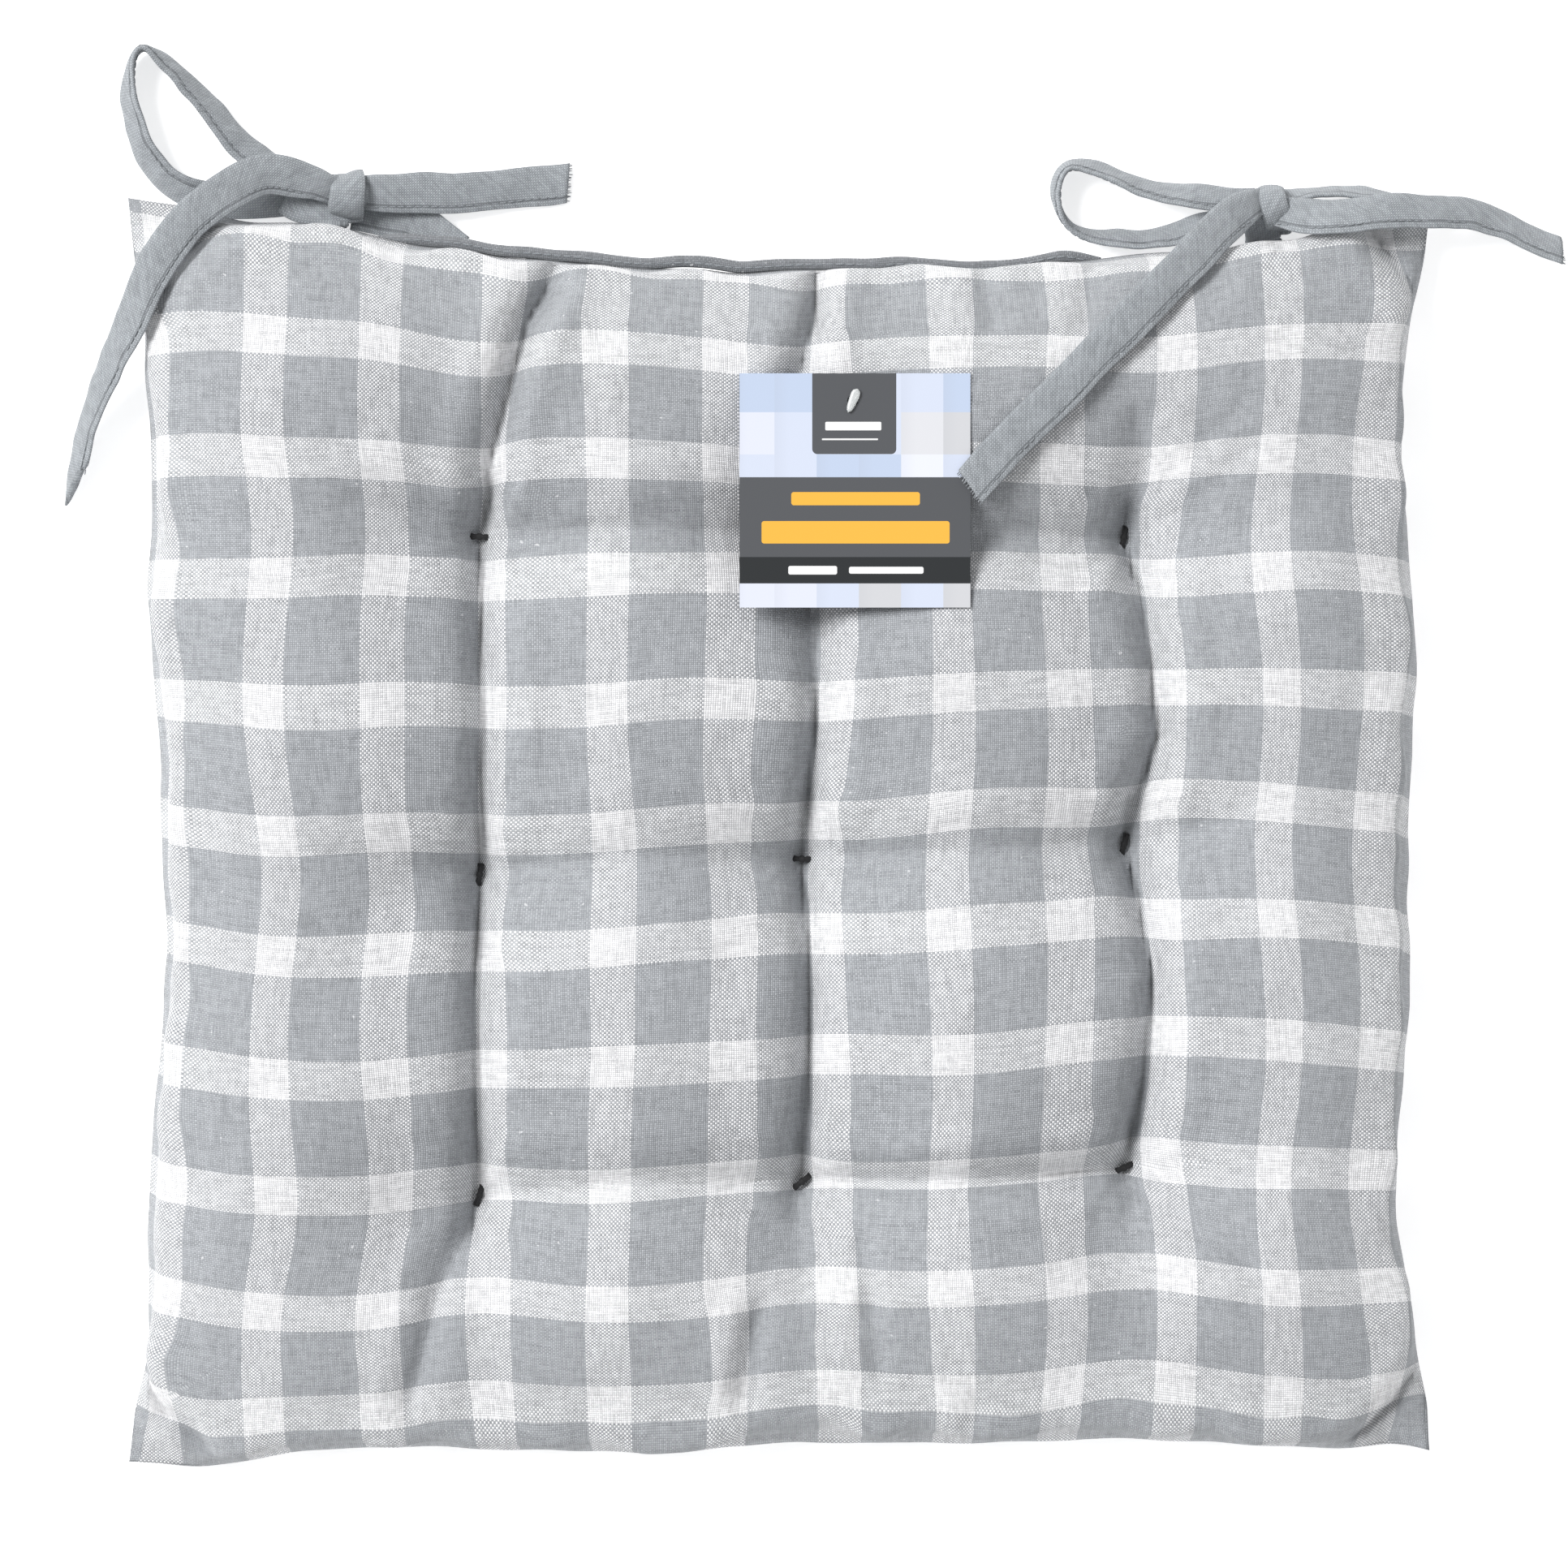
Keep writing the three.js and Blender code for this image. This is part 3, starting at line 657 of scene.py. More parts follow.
def studio():
    """The camera straight above the pad, a soft key light from behind left, and a bright floor."""
    scene = bpy.context.scene
    camera = bpy.data.objects.new("camera", bpy.data.cameras.new("camera"))
    camera.data.sensor_width = SENSOR_WIDTH
    camera.data.lens = CAMERA_LENS * 1000
    camera.location = (*CAMERA_AT, CAMERA_HEIGHT)
    scene.collection.objects.link(camera)
    scene.camera = camera

    scene.view_settings.view_transform = "Standard"
    world = bpy.data.worlds.new("soft_white")
    world.use_nodes = True
    background = world.node_tree.nodes["Background"]
    background.inputs["Color"].default_value = (1.0, 1.0, 1.0, 1.0)
    background.inputs["Strength"].default_value = SKY_STRENGTH
    scene.world = world

    key = bpy.data.lights.new("key", "SUN")
    key.energy = KEY_LIGHT["strength"]
    key.angle = KEY_LIGHT["angle"]
    lamp = bpy.data.objects.new("key", key)
    lamp.location = KEY_LIGHT["place"]
    lamp.rotation_euler = (Vector((0, 0, 0)) - lamp.location).to_track_quat("-Z", "Y").to_euler()
    scene.collection.objects.link(lamp)

    floor_nodes = Nodes("floor")
    grain = floor_nodes.noise(floor_nodes.add("ShaderNodeTexCoord").outputs["Object"], 4.0)
    floor_nodes.put(
        floor_nodes.shader.inputs["Base Color"],
        floor_nodes.mix(grain, (0.93, 0.93, 0.93, 1.0), (0.95, 0.95, 0.95, 1.0)),
    )
    floor_nodes.shader.inputs["Roughness"].default_value = 0.9
    floor_nodes.shader.inputs["Emission Color"].default_value = (1.0, 1.0, 1.0, 1.0)
    floor_nodes.shader.inputs["Emission Strength"].default_value = FLOOR["glow"]
    bpy.ops.mesh.primitive_plane_add(size=FLOOR["size"], location=(0, 0, FLOOR["height"]))
    floor = bpy.context.object
    floor.name = "floor"
    floor.data.materials.append(floor_nodes.material)


# --- The ties ------------------------------------------------------------------------------------


def smooth_route(route, samples=14):
    """A Catmull-Rom curve through the route: points in metres, rolls in radians."""
    rows = np.array(route, dtype=float)
    ends = np.vstack([2 * rows[0] - rows[1], rows, 2 * rows[-1] - rows[-2]])
    t = np.linspace(0, 1, samples, endpoint=False)[:, None]
    pieces = []
    for a, b, c, d in zip(ends, ends[1:], ends[2:], ends[3:]):
        pieces.append(between(a, b, c, d, t))
    curve = np.vstack([*pieces, rows[-1]])
    return curve[:, :3] * MM, np.radians(curve[:, 3])


class Strand:
    """A tape's centreline, which gives its place and its across and up directions at any length."""

    def __init__(self, route):
        points, rolls = smooth_route(route)
        steps = np.linalg.norm(np.diff(points, axis=0), axis=1)
        self.arcs = np.concatenate([[0], np.cumsum(steps)])
        self.points = points
        self.length = float(self.arcs[-1])
        tangents = np.gradient(points, axis=0)
        tangents /= np.linalg.norm(tangents, axis=1)[:, None]
        right = np.cross(tangents, (0, 0, 1))
        norms = np.linalg.norm(right, axis=1)
        steep = norms < 0.2
        right[steep] = (1, 0, 0)
        right /= np.linalg.norm(right, axis=1)[:, None]
        up = np.cross(right, tangents)
        self.across = right * np.cos(rolls)[:, None] + up * np.sin(rolls)[:, None]
        self.tangents = tangents

    def at(self, arc):
        """Place, across direction and normal, beyond the ends too."""
        inner = np.clip(arc, 0, self.length)
        spot = [
            np.stack([np.interp(inner, self.arcs, values[:, i]) for i in range(3)], axis=-1)
            for values in (self.points, self.across, self.tangents)
        ]
        place, across, tangent = spot
        place = place + tangent * (arc - inner)[..., None]
        normal = np.cross(across, tangent)
        return place, across, normal

    def path(self, spacing=0.003):
        count = max(6, int(round(self.length / spacing)))
        arcs = np.linspace(0, self.length, count)
        return self.at(arcs)[0].tolist()


TAPE_END_SLANT_OVER = 0.03
TAPE_EDGE_WAVE = {"size": 0.011, "share": 0.06}
TAPE_SWAY = {"size": 0.014, "reach": 0.0007}
TAPE_RIPPLE_SIZE = 0.0075
PINCH_WIDTH = 0.009


def tape_section(points, stitched, thickness):
    """Across places from -1 to 1 and half-thicknesses of one face, with the stitch groove."""
    across = np.sin(np.linspace(-math.pi / 2, math.pi / 2, points)) * 0.995
    body = (1 - np.abs(across) ** 5) ** 0.5 * thickness / 2
    swell = 0.22 * thickness * (1 - across**2)
    height = body + swell
    if stitched:
        seam = stitched * (1 - 2 * STITCH_INSET / TAPE_WIDTH)
        height = height - 0.34 * thickness * np.exp(-(((across - seam) / 0.075) ** 2))
    return across, height


def tape_mesh(strand, width=TAPE_WIDTH, thickness=TAPE_THICKNESS, stitched=0, slant=0.0,
              pinches=(), seed=1, wave=0.0007, section_points=15):
    """Vertices, faces and UVs of a closed flat tape along a strand."""
    rings = max(4, int(round(strand.length / RING_STEP)) + 1)
    arcs = np.linspace(0, strand.length, rings)
    across, height = tape_section(section_points, stitched, thickness)
    a = np.concatenate([across, across[::-1]])
    h = np.concatenate([height, -height[::-1]])
    side = np.concatenate([np.ones(section_points), -np.ones(section_points)])
    slanting = smoothstep(arcs, strand.length - TAPE_END_SLANT_OVER, strand.length)
    arc = arcs[:, None] + slanting[:, None] * slant / 2 * a[None, :]
    unevenness = ripple([(s, 0, 0) for s in arcs], TAPE_EDGE_WAVE["size"], seed)
    half = width / 2 * (1 + TAPE_EDGE_WAVE["share"] * unevenness)
    for where, share in pinches:
        half = half * (1 - share * np.exp(-(((arcs - where) / PINCH_WIDTH) ** 2)))
    place, edge, normal = strand.at(arc)
    from_edge = (1 - (stitched or 1) * a) * width / 2 + (0 if stitched else UNSTITCHED)
    flat = np.stack([arc.ravel(), np.tile(from_edge, rings)], axis=1)
    spots = [(s, t, 0) for s, t in flat]
    lift = ripple(spots, TAPE_RIPPLE_SIZE, seed + 3).reshape(rings, -1) * wave
    sideways = ripple([(s, 0.5, 0) for s in arcs], TAPE_SWAY["size"], seed + 5) * TAPE_SWAY["reach"]
    offset = half[:, None] * a[None, :] + sideways[:, None]
    thick = h[None, :] + lift + side[None, :] * 0.3 * np.abs(lift)
    verts = place + edge * offset[..., None] + normal * thick[..., None]
    return verts.reshape(-1, 3), ring_faces(rings, len(a)), flat


def capsule(start, end, radius, up, flatten=0.7, sides=6):
    """A small closed rounded rod, for one stitch or one fibre."""
    start, end, up = Vector(start), Vector(end), Vector(up)
    along = (end - start).normalized()
    sideways = along.cross(up).normalized()
    lifted = sideways.cross(along)
    verts, faces = [start - along * radius * 0.4], []
    for share, swell in ((0.0, 0.75), (0.3, 1.0), (0.7, 1.0), (1.0, 0.75)):
        centre = start.lerp(end, share)
        for k in range(sides):
            angle = 2 * math.pi * k / sides
            verts.append(
                centre + sideways * math.cos(angle) * radius * swell
                + lifted * math.sin(angle) * radius * swell * flatten
            )
    verts.append(end + along * radius * 0.4)
    last = len(verts) - 1
    for k in range(sides):
        n = (k + 1) % sides
        faces.append((0, 1 + n, 1 + k))
        for row in range(3):
            base = 1 + row * sides
            faces.append((base + k, base + n, base + sides + n, base + sides + k))
        faces.append((last, last - sides + k, last - sides + n))
    return verts, faces


def stitches_along(strand, stitched, begin, end, thickness=TAPE_THICKNESS, width=TAPE_WIDTH):
    """Short raised stitches on both faces, in the groove near the stitched edge."""
    rods = []
    seam = stitched * (width / 2 - STITCH_INSET)
    arc = begin
    while arc + STITCH_PITCH < end:
        ends = np.array([arc + 0.0003, arc + STITCH_PITCH - 0.0005])
        place, edge, normal = strand.at(ends)
        for face in (1, -1):
            spots = place + edge * seam + normal * (face * (thickness / 2 + 0.00008))
            rods.append(capsule(spots[0], spots[1], 0.00027, normal[0]))
        arc += STITCH_PITCH
    return rods


def frayed_end(strand, slant, seed, count=16, width=TAPE_WIDTH):
    """Loose yarn ends that stick out of a cut end."""
    rods = []
    for k in range(count):
        share = -0.95 + 1.9 * (k + 0.5) / count
        length = 0.0007 + 0.0011 * abs(noise.noise(Vector((k * 1.7, seed, 0.5))))
        bend = 0.0007 * noise.noise(Vector((k * 2.3, seed, 4.5)))
        rise = 0.0006 * noise.noise(Vector((k * 1.1, seed, 8.5)))
        reach = strand.length + slant / 2 * share
        place, edge, normal = strand.at(np.array([reach - 0.0015, reach + length]))
        start = place[0] + edge[0] * share * width / 2
        tip = place[1] + edge[1] * (share * width / 2 + bend) + normal[1] * rise
        rods.append(capsule(start, tip, 0.00018, normal[0], 1.0, 5))
    return rods


def join_parts(parts):
    """Joins (vertices, faces, uvs, material slot) parts into one mesh's lists."""
    verts, faces, uvs, slots = [], [], [], []
    for part_verts, part_faces, part_uvs, part_slot in parts:
        base = len(verts)
        verts.extend(part_verts)
        faces.extend(tuple(base + i for i in face) for face in part_faces)
        uvs.extend(part_uvs if part_uvs is not None else [(v[0], v[1]) for v in part_verts])
        slots.extend([part_slot] * len(part_faces))
    return verts, faces, uvs, slots


# How far from a strand's end the knot pinches it, and how much of its width it takes.
KNOT_PINCH = {"at": 0.004, "share": 0.30}


def make_strand(name, spec, seed):
    """One strand of a bow: the tape with its stitches and, on a tail, a frayed end."""
    strand = Strand(spec["route"])
    slant = spec["slant"] * MM
    is_loop = name.endswith("loop")
    width = LOOP_WIDTH if is_loop else TAPE_WIDTH
    pinched_at = [KNOT_PINCH["at"]] + ([strand.length - KNOT_PINCH["at"]] if is_loop else [])
    pinches = [(arc, KNOT_PINCH["share"]) for arc in pinched_at]
    verts, faces, flat = tape_mesh(
        strand, width, stitched=spec["stitched"], slant=slant, pinches=pinches, seed=seed
    )
    parts = [(verts, faces, flat, 0)]
    stop = strand.length - (0.004 if is_loop else 0.0005)
    for rod_verts, rod_faces in stitches_along(strand, spec["stitched"], 0.006, stop, width=width):
        parts.append((rod_verts, rod_faces, None, 1))
    if not is_loop:
        for rod_verts, rod_faces in frayed_end(strand, slant, seed):
            parts.append((rod_verts, rod_faces, None, 0))
    verts, faces, uvs, slots = join_parts(parts)
    piece = add_piece(f"{name}_tape", verts, faces, TAPE, None, uvs, slots, [GREY_THREAD])
    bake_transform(piece)
    side, rest = name.split("_", 1)
    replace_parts(piece, f"{side}_tie_{rest}")
    return piece, strand


def make_root(name, route, seed):
    """The short start of a tie, from the seam to its knot."""
    strand = Strand(route)
    verts, faces, flat = tape_mesh(strand, seed=seed, stitched=1)
    piece = add_piece(f"{name}_tape", verts, faces, TAPE, "pad", flat)
    side, rest = name.split("_", 1)
    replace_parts(piece, f"{side}_tie_{rest}")
    return piece


# The bands that wrap each knot: route (mm and degrees), width and thickness in mm, and whether
# an edge is stitched.
KNOT_BANDS = {
    "left": [
        ([(-133.6, 188.6, 5, 0), (-133.2, 189.4, 10, 0), (-133, 192, 13.2, 0), (-132.6, 195.6, 14.2, 0),
          (-132.6, 199, 12.6, 0), (-133, 200.6, 8.5, 0), (-133.2, 200, 4.5, 0)], 10.8, 1.6, 0),
        ([(-152, 193.5, 7.5, 0), (-147, 190.6, 8.2, 8), (-141, 189.6, 8.6, 10), (-135, 190.2, 8.4, 6),
          (-129, 191.5, 6.5, 0)], 8.5, 1.8, 0),
    ],
    "right": [
        ([(153.5, 184.2, 8, 0), (153.6, 185.6, 14, 0), (152.6, 188.2, 18.6, 0), (151.6, 191.4, 20, 0),
          (151.2, 194.6, 18.4, 0), (151.2, 196.4, 13.5, 0), (151.4, 196, 8, 0)], 8.5, 1.8, 0),
        ([(146.5, 192, 15.5, 0), (147.6, 188, 15.8, 0), (148.6, 184.2, 13, 0), (149, 181.8, 8.5, 0),
          (149, 181, 4, 0)], 11.5, 1.8, 0),
    ],
}
KNOT_CORES = {
    "left": {"centre": (-133, 195, 7.6), "radii": (8, 6, 5)},
    "right": {"centre": (149, 190, 12), "radii": (8.6, 6, 6.4)},
}


def ellipsoid(centre, radii, seed, rings=18, sides=28):
    """A closed lumpy ellipsoid for the tape packed inside a knot."""
    verts, faces = [], []
    for i in range(1, rings):
        polar = math.pi * i / rings
        for j in range(sides):
            turn = 2 * math.pi * j / sides
            flat_x, flat_y = math.sin(polar) * math.cos(turn), math.sin(polar) * math.sin(turn)
            way = Vector((flat_x, flat_y, math.cos(polar)))
            size = 1 + 0.12 * noise.noise(way * 2.2 + Vector((seed, 0, 0)))
            verts.append([(c + w * r * size) * MM for c, w, r in zip(centre, way, radii)])
    top, bottom = len(verts), len(verts) + 1
    verts.append([centre[0] * MM, centre[1] * MM, (centre[2] + radii[2]) * MM])
    verts.append([centre[0] * MM, centre[1] * MM, (centre[2] - radii[2]) * MM])
    for j in range(sides):
        k = (j + 1) % sides
        faces.append((top, j, k))
        faces.append((bottom, (rings - 2) * sides + k, (rings - 2) * sides + j))
        for i in range(rings - 2):
            faces.append((i * sides + j, (i + 1) * sides + j, (i + 1) * sides + k, i * sides + k))
    return verts, faces


def make_knot(side, seed):
    """The wrapped knot of one bow: packed tape with the bands that show round it."""
    core = KNOT_CORES[side]
    verts, faces = ellipsoid(core["centre"], core["radii"], seed)
    parts = [(verts, faces, None, 0)]
    for number, (route, width, thickness, stitched) in enumerate(KNOT_BANDS[side]):
        band_verts, band_faces, flat = tape_mesh(
            Strand(route), width * MM, thickness * MM, stitched, seed=seed + number, wave=0.0003
        )
        parts.append((band_verts, band_faces, flat, 0))
    verts, faces, uvs, slots = join_parts(parts)
    piece = add_piece(f"{side}_knot_tape", verts, faces, TAPE, "pad", uvs, slots)
    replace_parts(piece, f"{side}_tie_knot")
    return piece


def make_ties():
    """Both bows with their knots and roots."""
    strands = {}
    for seed, (name, spec) in enumerate(STRANDS.items(), start=1):
        strands[name] = make_strand(name, spec, seed)
    for side in ("left", "right"):
        knot = make_knot(side, 21 if side == "left" else 31)
        roots = [
            make_root(name, route, 41 + number)
            for number, (name, route) in enumerate(ROOTS.items())
            if name.startswith(side)
        ]
        for name, (piece, strand) in strands.items():
            if not name.startswith(side):
                continue
            path = strand.path()
    return {name: strand for name, (_, strand) in strands.items()}


# --- The pad -------------------------------------------------------------------------------------


def grid_lines(through, half):
    """Lines across the pad with one through every tuft and none close to the seam."""
    pitch = TUFT_PITCH / CELLS_PER_TUFT
    below = int((half + through) / pitch - 0.5)
    above = int((half - through) / pitch - 0.5)
    inner = through + pitch * np.arange(-below, above + 1)
    return np.concatenate([[-half], inner, [half]])


COLUMNS = grid_lines(TUFT_CENTRE[0], HALF_WIDTH)
ROWS = grid_lines(TUFT_CENTRE[1], HALF_DEPTH)
TUFTS = [
    (TUFT_CENTRE[0] + column * TUFT_PITCH, TUFT_CENTRE[1] + row * TUFT_PITCH)
    for row in (1, 0, -1)
    for column in (-1, 0, 1)
]


def wander(side, place):
    """How far the sewn edge of one side lies outside its fair curve."""
    return sum(
        out * MM * np.exp(-(((place - at * MM) / (width * MM)) ** 2))
        for at, out, width in EDGE_WANDER[side]
    )


def in_plan(x, y):
    """Where a point of the flat square panel lies in plan, once the sides have drawn in."""
    u, v = x / HALF_WIDTH, y / HALF_DEPTH
    at = REAR_DIP["at"]
    off = np.where(u < at, (at - u) / (1 + at), (u - at) / (1 - at))
    power = np.where(u < at, REAR_DIP["left_power"], REAR_DIP["right_power"])
    rear = DRAWN_IN["rear"] * (1 - np.abs(off) ** power)
    sideways = np.where(u < 0, DRAWN_IN["left"], -DRAWN_IN["right"]) * (1 - v**2)
    lengthways = np.where(v < 0, DRAWN_IN["front"] * (1 - u**2), -rear)
    across = (x - TUFT_CENTRE[0]) / TUFT_PITCH * (1 - u**4)
    behind = smoothstep(TUFT_CENTRE[1] + TUFT_PITCH - y, 0, TUFT_PITCH)
    lean = ROW_LEAN * across * behind * (1 - v**4)
    sideways = sideways + np.where(u < 0, -wander("left", y), wander("right", y))
    lengthways = lengthways + np.where(v < 0, -wander("front", x), wander("rear", x))
    return x + sideways * u**6, y + lengthways * v**6 + lean


STITCH_PLACES = [tuple(float(c) for c in in_plan(np.float64(a), np.float64(b))) for a, b in TUFTS]


def seam_at(x, y):
    """Height of the sewn edge, lower towards the corners."""
    corner = (x * y / (HALF_WIDTH * HALF_DEPTH)) ** 2
    return SEAM_HEIGHT["side"] + (SEAM_HEIGHT["corner"] - SEAM_HEIGHT["side"]) * corner


def fullness(x, y):
    """0 along the seam and over the pinched corners, 1 where the filling is full."""
    across = 1 - np.abs(x / HALF_WIDTH) ** EDGE_FULLNESS
    along = 1 - np.abs(y / HALF_DEPTH) ** EDGE_FULLNESS
    corner = np.hypot(HALF_WIDTH - np.abs(x), HALF_DEPTH - np.abs(y))
    ear = 1 - np.exp(-((corner / EAR_SIZE) ** 3))
    return np.sqrt(np.maximum(across * along, 0)) * ear


def tuft_distance(x, y):
    """Distance on the flat panel from each place to the nearest tuft."""
    return np.min([np.hypot(x - a, y - b) for a, b in TUFTS], axis=0)


def valleys(x, y):
    """The soft troughs that run between the tufts, deeper along the columns than the rows."""
    depth = np.zeros(x.shape)
    for value, other, centre, middle, name in (
        (x, y, TUFT_CENTRE[0], TUFT_CENTRE[1], "columns"),
        (y, x, TUFT_CENTRE[1], TUFT_CENTRE[0], "rows"),
    ):
        fade = 1 - smoothstep(np.abs(other - middle), 1.2 * TUFT_PITCH, 1.8 * TUFT_PITCH)
        for line in (-1, 0, 1):
            off = (value - centre - line * TUFT_PITCH) / VALLEY_WIDTH
            depth = np.maximum(depth, VALLEY_DEPTH[name] * np.exp(-(off**2)) * fade)
    return depth


def start_shape():
    """The two panels before the filling puffs them: grids of points, rows first."""
    x, y = np.meshgrid(COLUMNS, ROWS)
    px, py = in_plan(x, y)
    rim = seam_at(x, y)
    crown = rim + (CROWN_HEIGHT - rim) * fullness(x, y)
    pull = np.exp(-((tuft_distance(x, y) / TUFT_REACH["top"]) ** 1.3))
    top = crown + (TUFT_HEIGHT["top"] - crown) * pull - valleys(x, y) * (1 - pull) * fullness(x, y)
    edge = rim * np.maximum(0, 1 - 1.3 * fullness(x, y))
    lift = TUFT_HEIGHT["bottom"] * np.maximum(0, 1 - tuft_distance(x, y) / TUFT_REACH["bottom"])
    bottom = np.maximum(np.maximum(edge, lift), CLOTH)
    on_rim = np.zeros(x.shape, dtype=bool)
    on_rim[[0, -1], :] = True
    on_rim[:, [0, -1]] = True
    top[on_rim] = rim[on_rim]
    bottom[on_rim] = rim[on_rim]
    return np.dstack([px, py, top]), np.dstack([px, py, bottom]), on_rim


def puff(top, bottom, on_rim):
    """Blender's cloth puffs both panels, held along the seam and at the tufts.

    It works at ten times the size, where its settings behave well, and every point may move by
    no more than the cap from the starting shape.
    """
    scale, cap = 10.0, 0.009
    rows, columns = on_rim.shape
    top_index = np.arange(rows * columns).reshape(rows, columns)
    bottom_index = top_index.copy()
    bottom_index[~on_rim] = rows * columns + np.arange(np.count_nonzero(~on_rim))
    verts = np.vstack([top.reshape(-1, 3), bottom[~on_rim]])
    x, y = np.meshgrid(COLUMNS * FLAT_EASE, ROWS * FLAT_EASE)
    cut = np.dstack([x, y, np.zeros_like(x)])
    flat = np.vstack([cut.reshape(-1, 3), cut[~on_rim]])
    faces = []
    for index, order in ((top_index, 1), (bottom_index, -1)):
        for j in range(rows - 1):
            for i in range(columns - 1):
                face = (index[j, i], index[j, i + 1], index[j + 1, i + 1], index[j + 1, i])
                faces.append(face[::order])
    mesh = bpy.data.meshes.new("puffed")
    mesh.from_pydata((verts * scale).tolist(), [], faces)
    body = bpy.data.objects.new("puffed", mesh)
    bpy.context.scene.collection.objects.link(body)
    body.shape_key_add(name="Basis")
    rest = body.shape_key_add(name="flat")
    rest.data.foreach_set("co", (flat * scale).ravel())
    rest.value = 0.0
    held = set(top_index[on_rim].tolist())
    for a, b in TUFTS:
        i, j = np.argmin(np.abs(COLUMNS - a)), np.argmin(np.abs(ROWS - b))
        held.update((int(top_index[j, i]), int(bottom_index[j, i])))
    group = body.vertex_groups.new(name="held")
    group.add(sorted(held), 1.0, "REPLACE")
    cloth = body.modifiers.new("Cloth", "CLOTH")
    settings = cloth.settings
    settings.quality = 6
    settings.mass = 0.05
    settings.tension_stiffness = settings.compression_stiffness = 40
    settings.shear_stiffness = 12
    settings.bending_stiffness = 0.5
    settings.tension_damping = settings.compression_damping = settings.shear_damping = 5
    settings.air_damping = 3
    settings.use_pressure = True
    settings.uniform_pressure_force = 5
    settings.vertex_group_mass = "held"
    settings.effector_weights.gravity = 0
    settings.rest_shape_key = rest
    cloth.collision_settings.use_collision = False
    cloth.collision_settings.use_self_collision = False
    scene = bpy.context.scene
    last = 45
    cloth.point_cache.frame_end = last
    for step in range(1, last + 1):
        scene.frame_set(step)
    done = body.evaluated_get(bpy.context.evaluated_depsgraph_get())
    moved = np.empty(len(verts) * 3)
    done.data.vertices.foreach_get("co", moved)
    moved = moved.reshape(-1, 3) / scale
    bpy.data.objects.remove(body)
    scene.frame_set(1)
    shift = moved - verts
    far = np.linalg.norm(shift, axis=1)
    shift *= np.minimum(1, cap / np.maximum(far, 1e-9))[:, None]
    verts = verts + shift
    print("puff moved by", round(float(far.max()) * 1000, 1), "mm at most before the cap")
    return verts[top_index], verts[bottom_index]


def split_cells(grid, times):
    """A Catmull-Rom surface through a grid of points, each cell split into times by times."""
    for axis in (0, 1):
        values = np.moveaxis(grid, axis, 0)
        ends = np.concatenate([2 * values[:1] - values[1:2], values, 2 * values[-1:] - values[-2:-1]])
        a, b, c, d = ends[:-3], ends[1:-2], ends[2:-1], ends[3:]
        stages = [between(a, b, c, d, k / times) for k in range(times)]
        fine = np.stack(stages, axis=1).reshape(-1, *values.shape[1:])
        grid = np.moveaxis(np.concatenate([fine, values[-1:]]), 0, axis)
    return grid


def distance_to_line(x, y, points):
    """Distance in plan from each place to a line through points, how far along it lies, and the
    direction from the line."""
    best = np.full(x.shape, np.inf)
    share = np.zeros(x.shape)
    away = np.zeros((*x.shape, 2))
    lengths = [math.dist(a, b) for a, b in zip(points, points[1:])]
    run = 0.0
    for (ax, ay), (bx, by), length in zip(points, points[1:], lengths):
        t = np.clip(((x - ax) * (bx - ax) + (y - ay) * (by - ay)) / length**2, 0, 1)
        offset = np.dstack([x - ax - t * (bx - ax), y - ay - t * (by - ay)])
        distance = np.hypot(offset[..., 0], offset[..., 1])
        nearer = distance < best
        best = np.where(nearer, distance, best)
        share = np.where(nearer, (run + t * length) / sum(lengths), share)
        away = np.where(nearer[..., None], offset / np.maximum(distance, 1e-9)[..., None], away)
        run += length
    return best, share, away


# A crease's swell, as shares of its depth and width, and the cloth that it takes up.
CREASE_SWELL = {"height": 0.22, "at": 3.2, "width": 1.6}
CREASE_TAKES_UP = {"share": 0.34, "reach": 0.022}
CREASE_TIP = {"from": -0.05, "to": 0.18}


def crease(top, flat, edge_fade):
    """Pulls the creases into the top panel, with a low swell on each side of them."""
    x, y = top[..., 0].copy(), top[..., 1].copy()
    nearest = np.min([np.hypot(x - a, y - b) for a, b in STITCH_PLACES], axis=0)
    clear = 1 - 0.6 * np.exp(-((nearest / 0.004) ** 2))
    for points, depth, width in CREASES:
        line = [(a * MM, b * MM) for a, b in points]
        distance, share, away = distance_to_line(x, y, line)
        tips = [smoothstep(end, CREASE_TIP["from"], CREASE_TIP["to"]) for end in (share, 1 - share)]
        strength = tips[0] * tips[1] * clear
        valley = np.exp(-((distance / (width * MM)) ** 1.15))
        beside = distance - CREASE_SWELL["at"] * width * MM
        swell = CREASE_SWELL["height"] * np.exp(-((beside / (CREASE_SWELL["width"] * width * MM)) ** 2))
        top[..., 2] += (swell - valley) * depth * MM * strength * edge_fade
        near = np.exp(-((distance / CREASE_TAKES_UP["reach"]) ** 2))
        taken = CREASE_TAKES_UP["share"] * depth * MM * (1 - valley) * near * strength
        flat += away * taken[..., None]


def pucker(top):
    """Small pleats that run out from each tuft."""
    for number, (px, py) in enumerate(STITCH_PLACES):
        dx, dy = top[..., 0] - px, top[..., 1] - py
        distance = np.hypot(dx, dy)
        angle = np.arctan2(dy, dx) + 0.9 * number
        pleats = np.cos(7 * angle + 2 * np.sin(2 * angle + number)) * 0.6 + np.cos(4 * angle) * 0.4
        near = np.exp(-((distance - PLEATS["at"]) / PLEATS["width"]) ** 2)
        top[..., 2] += PLEATS["depth"] * pleats * near


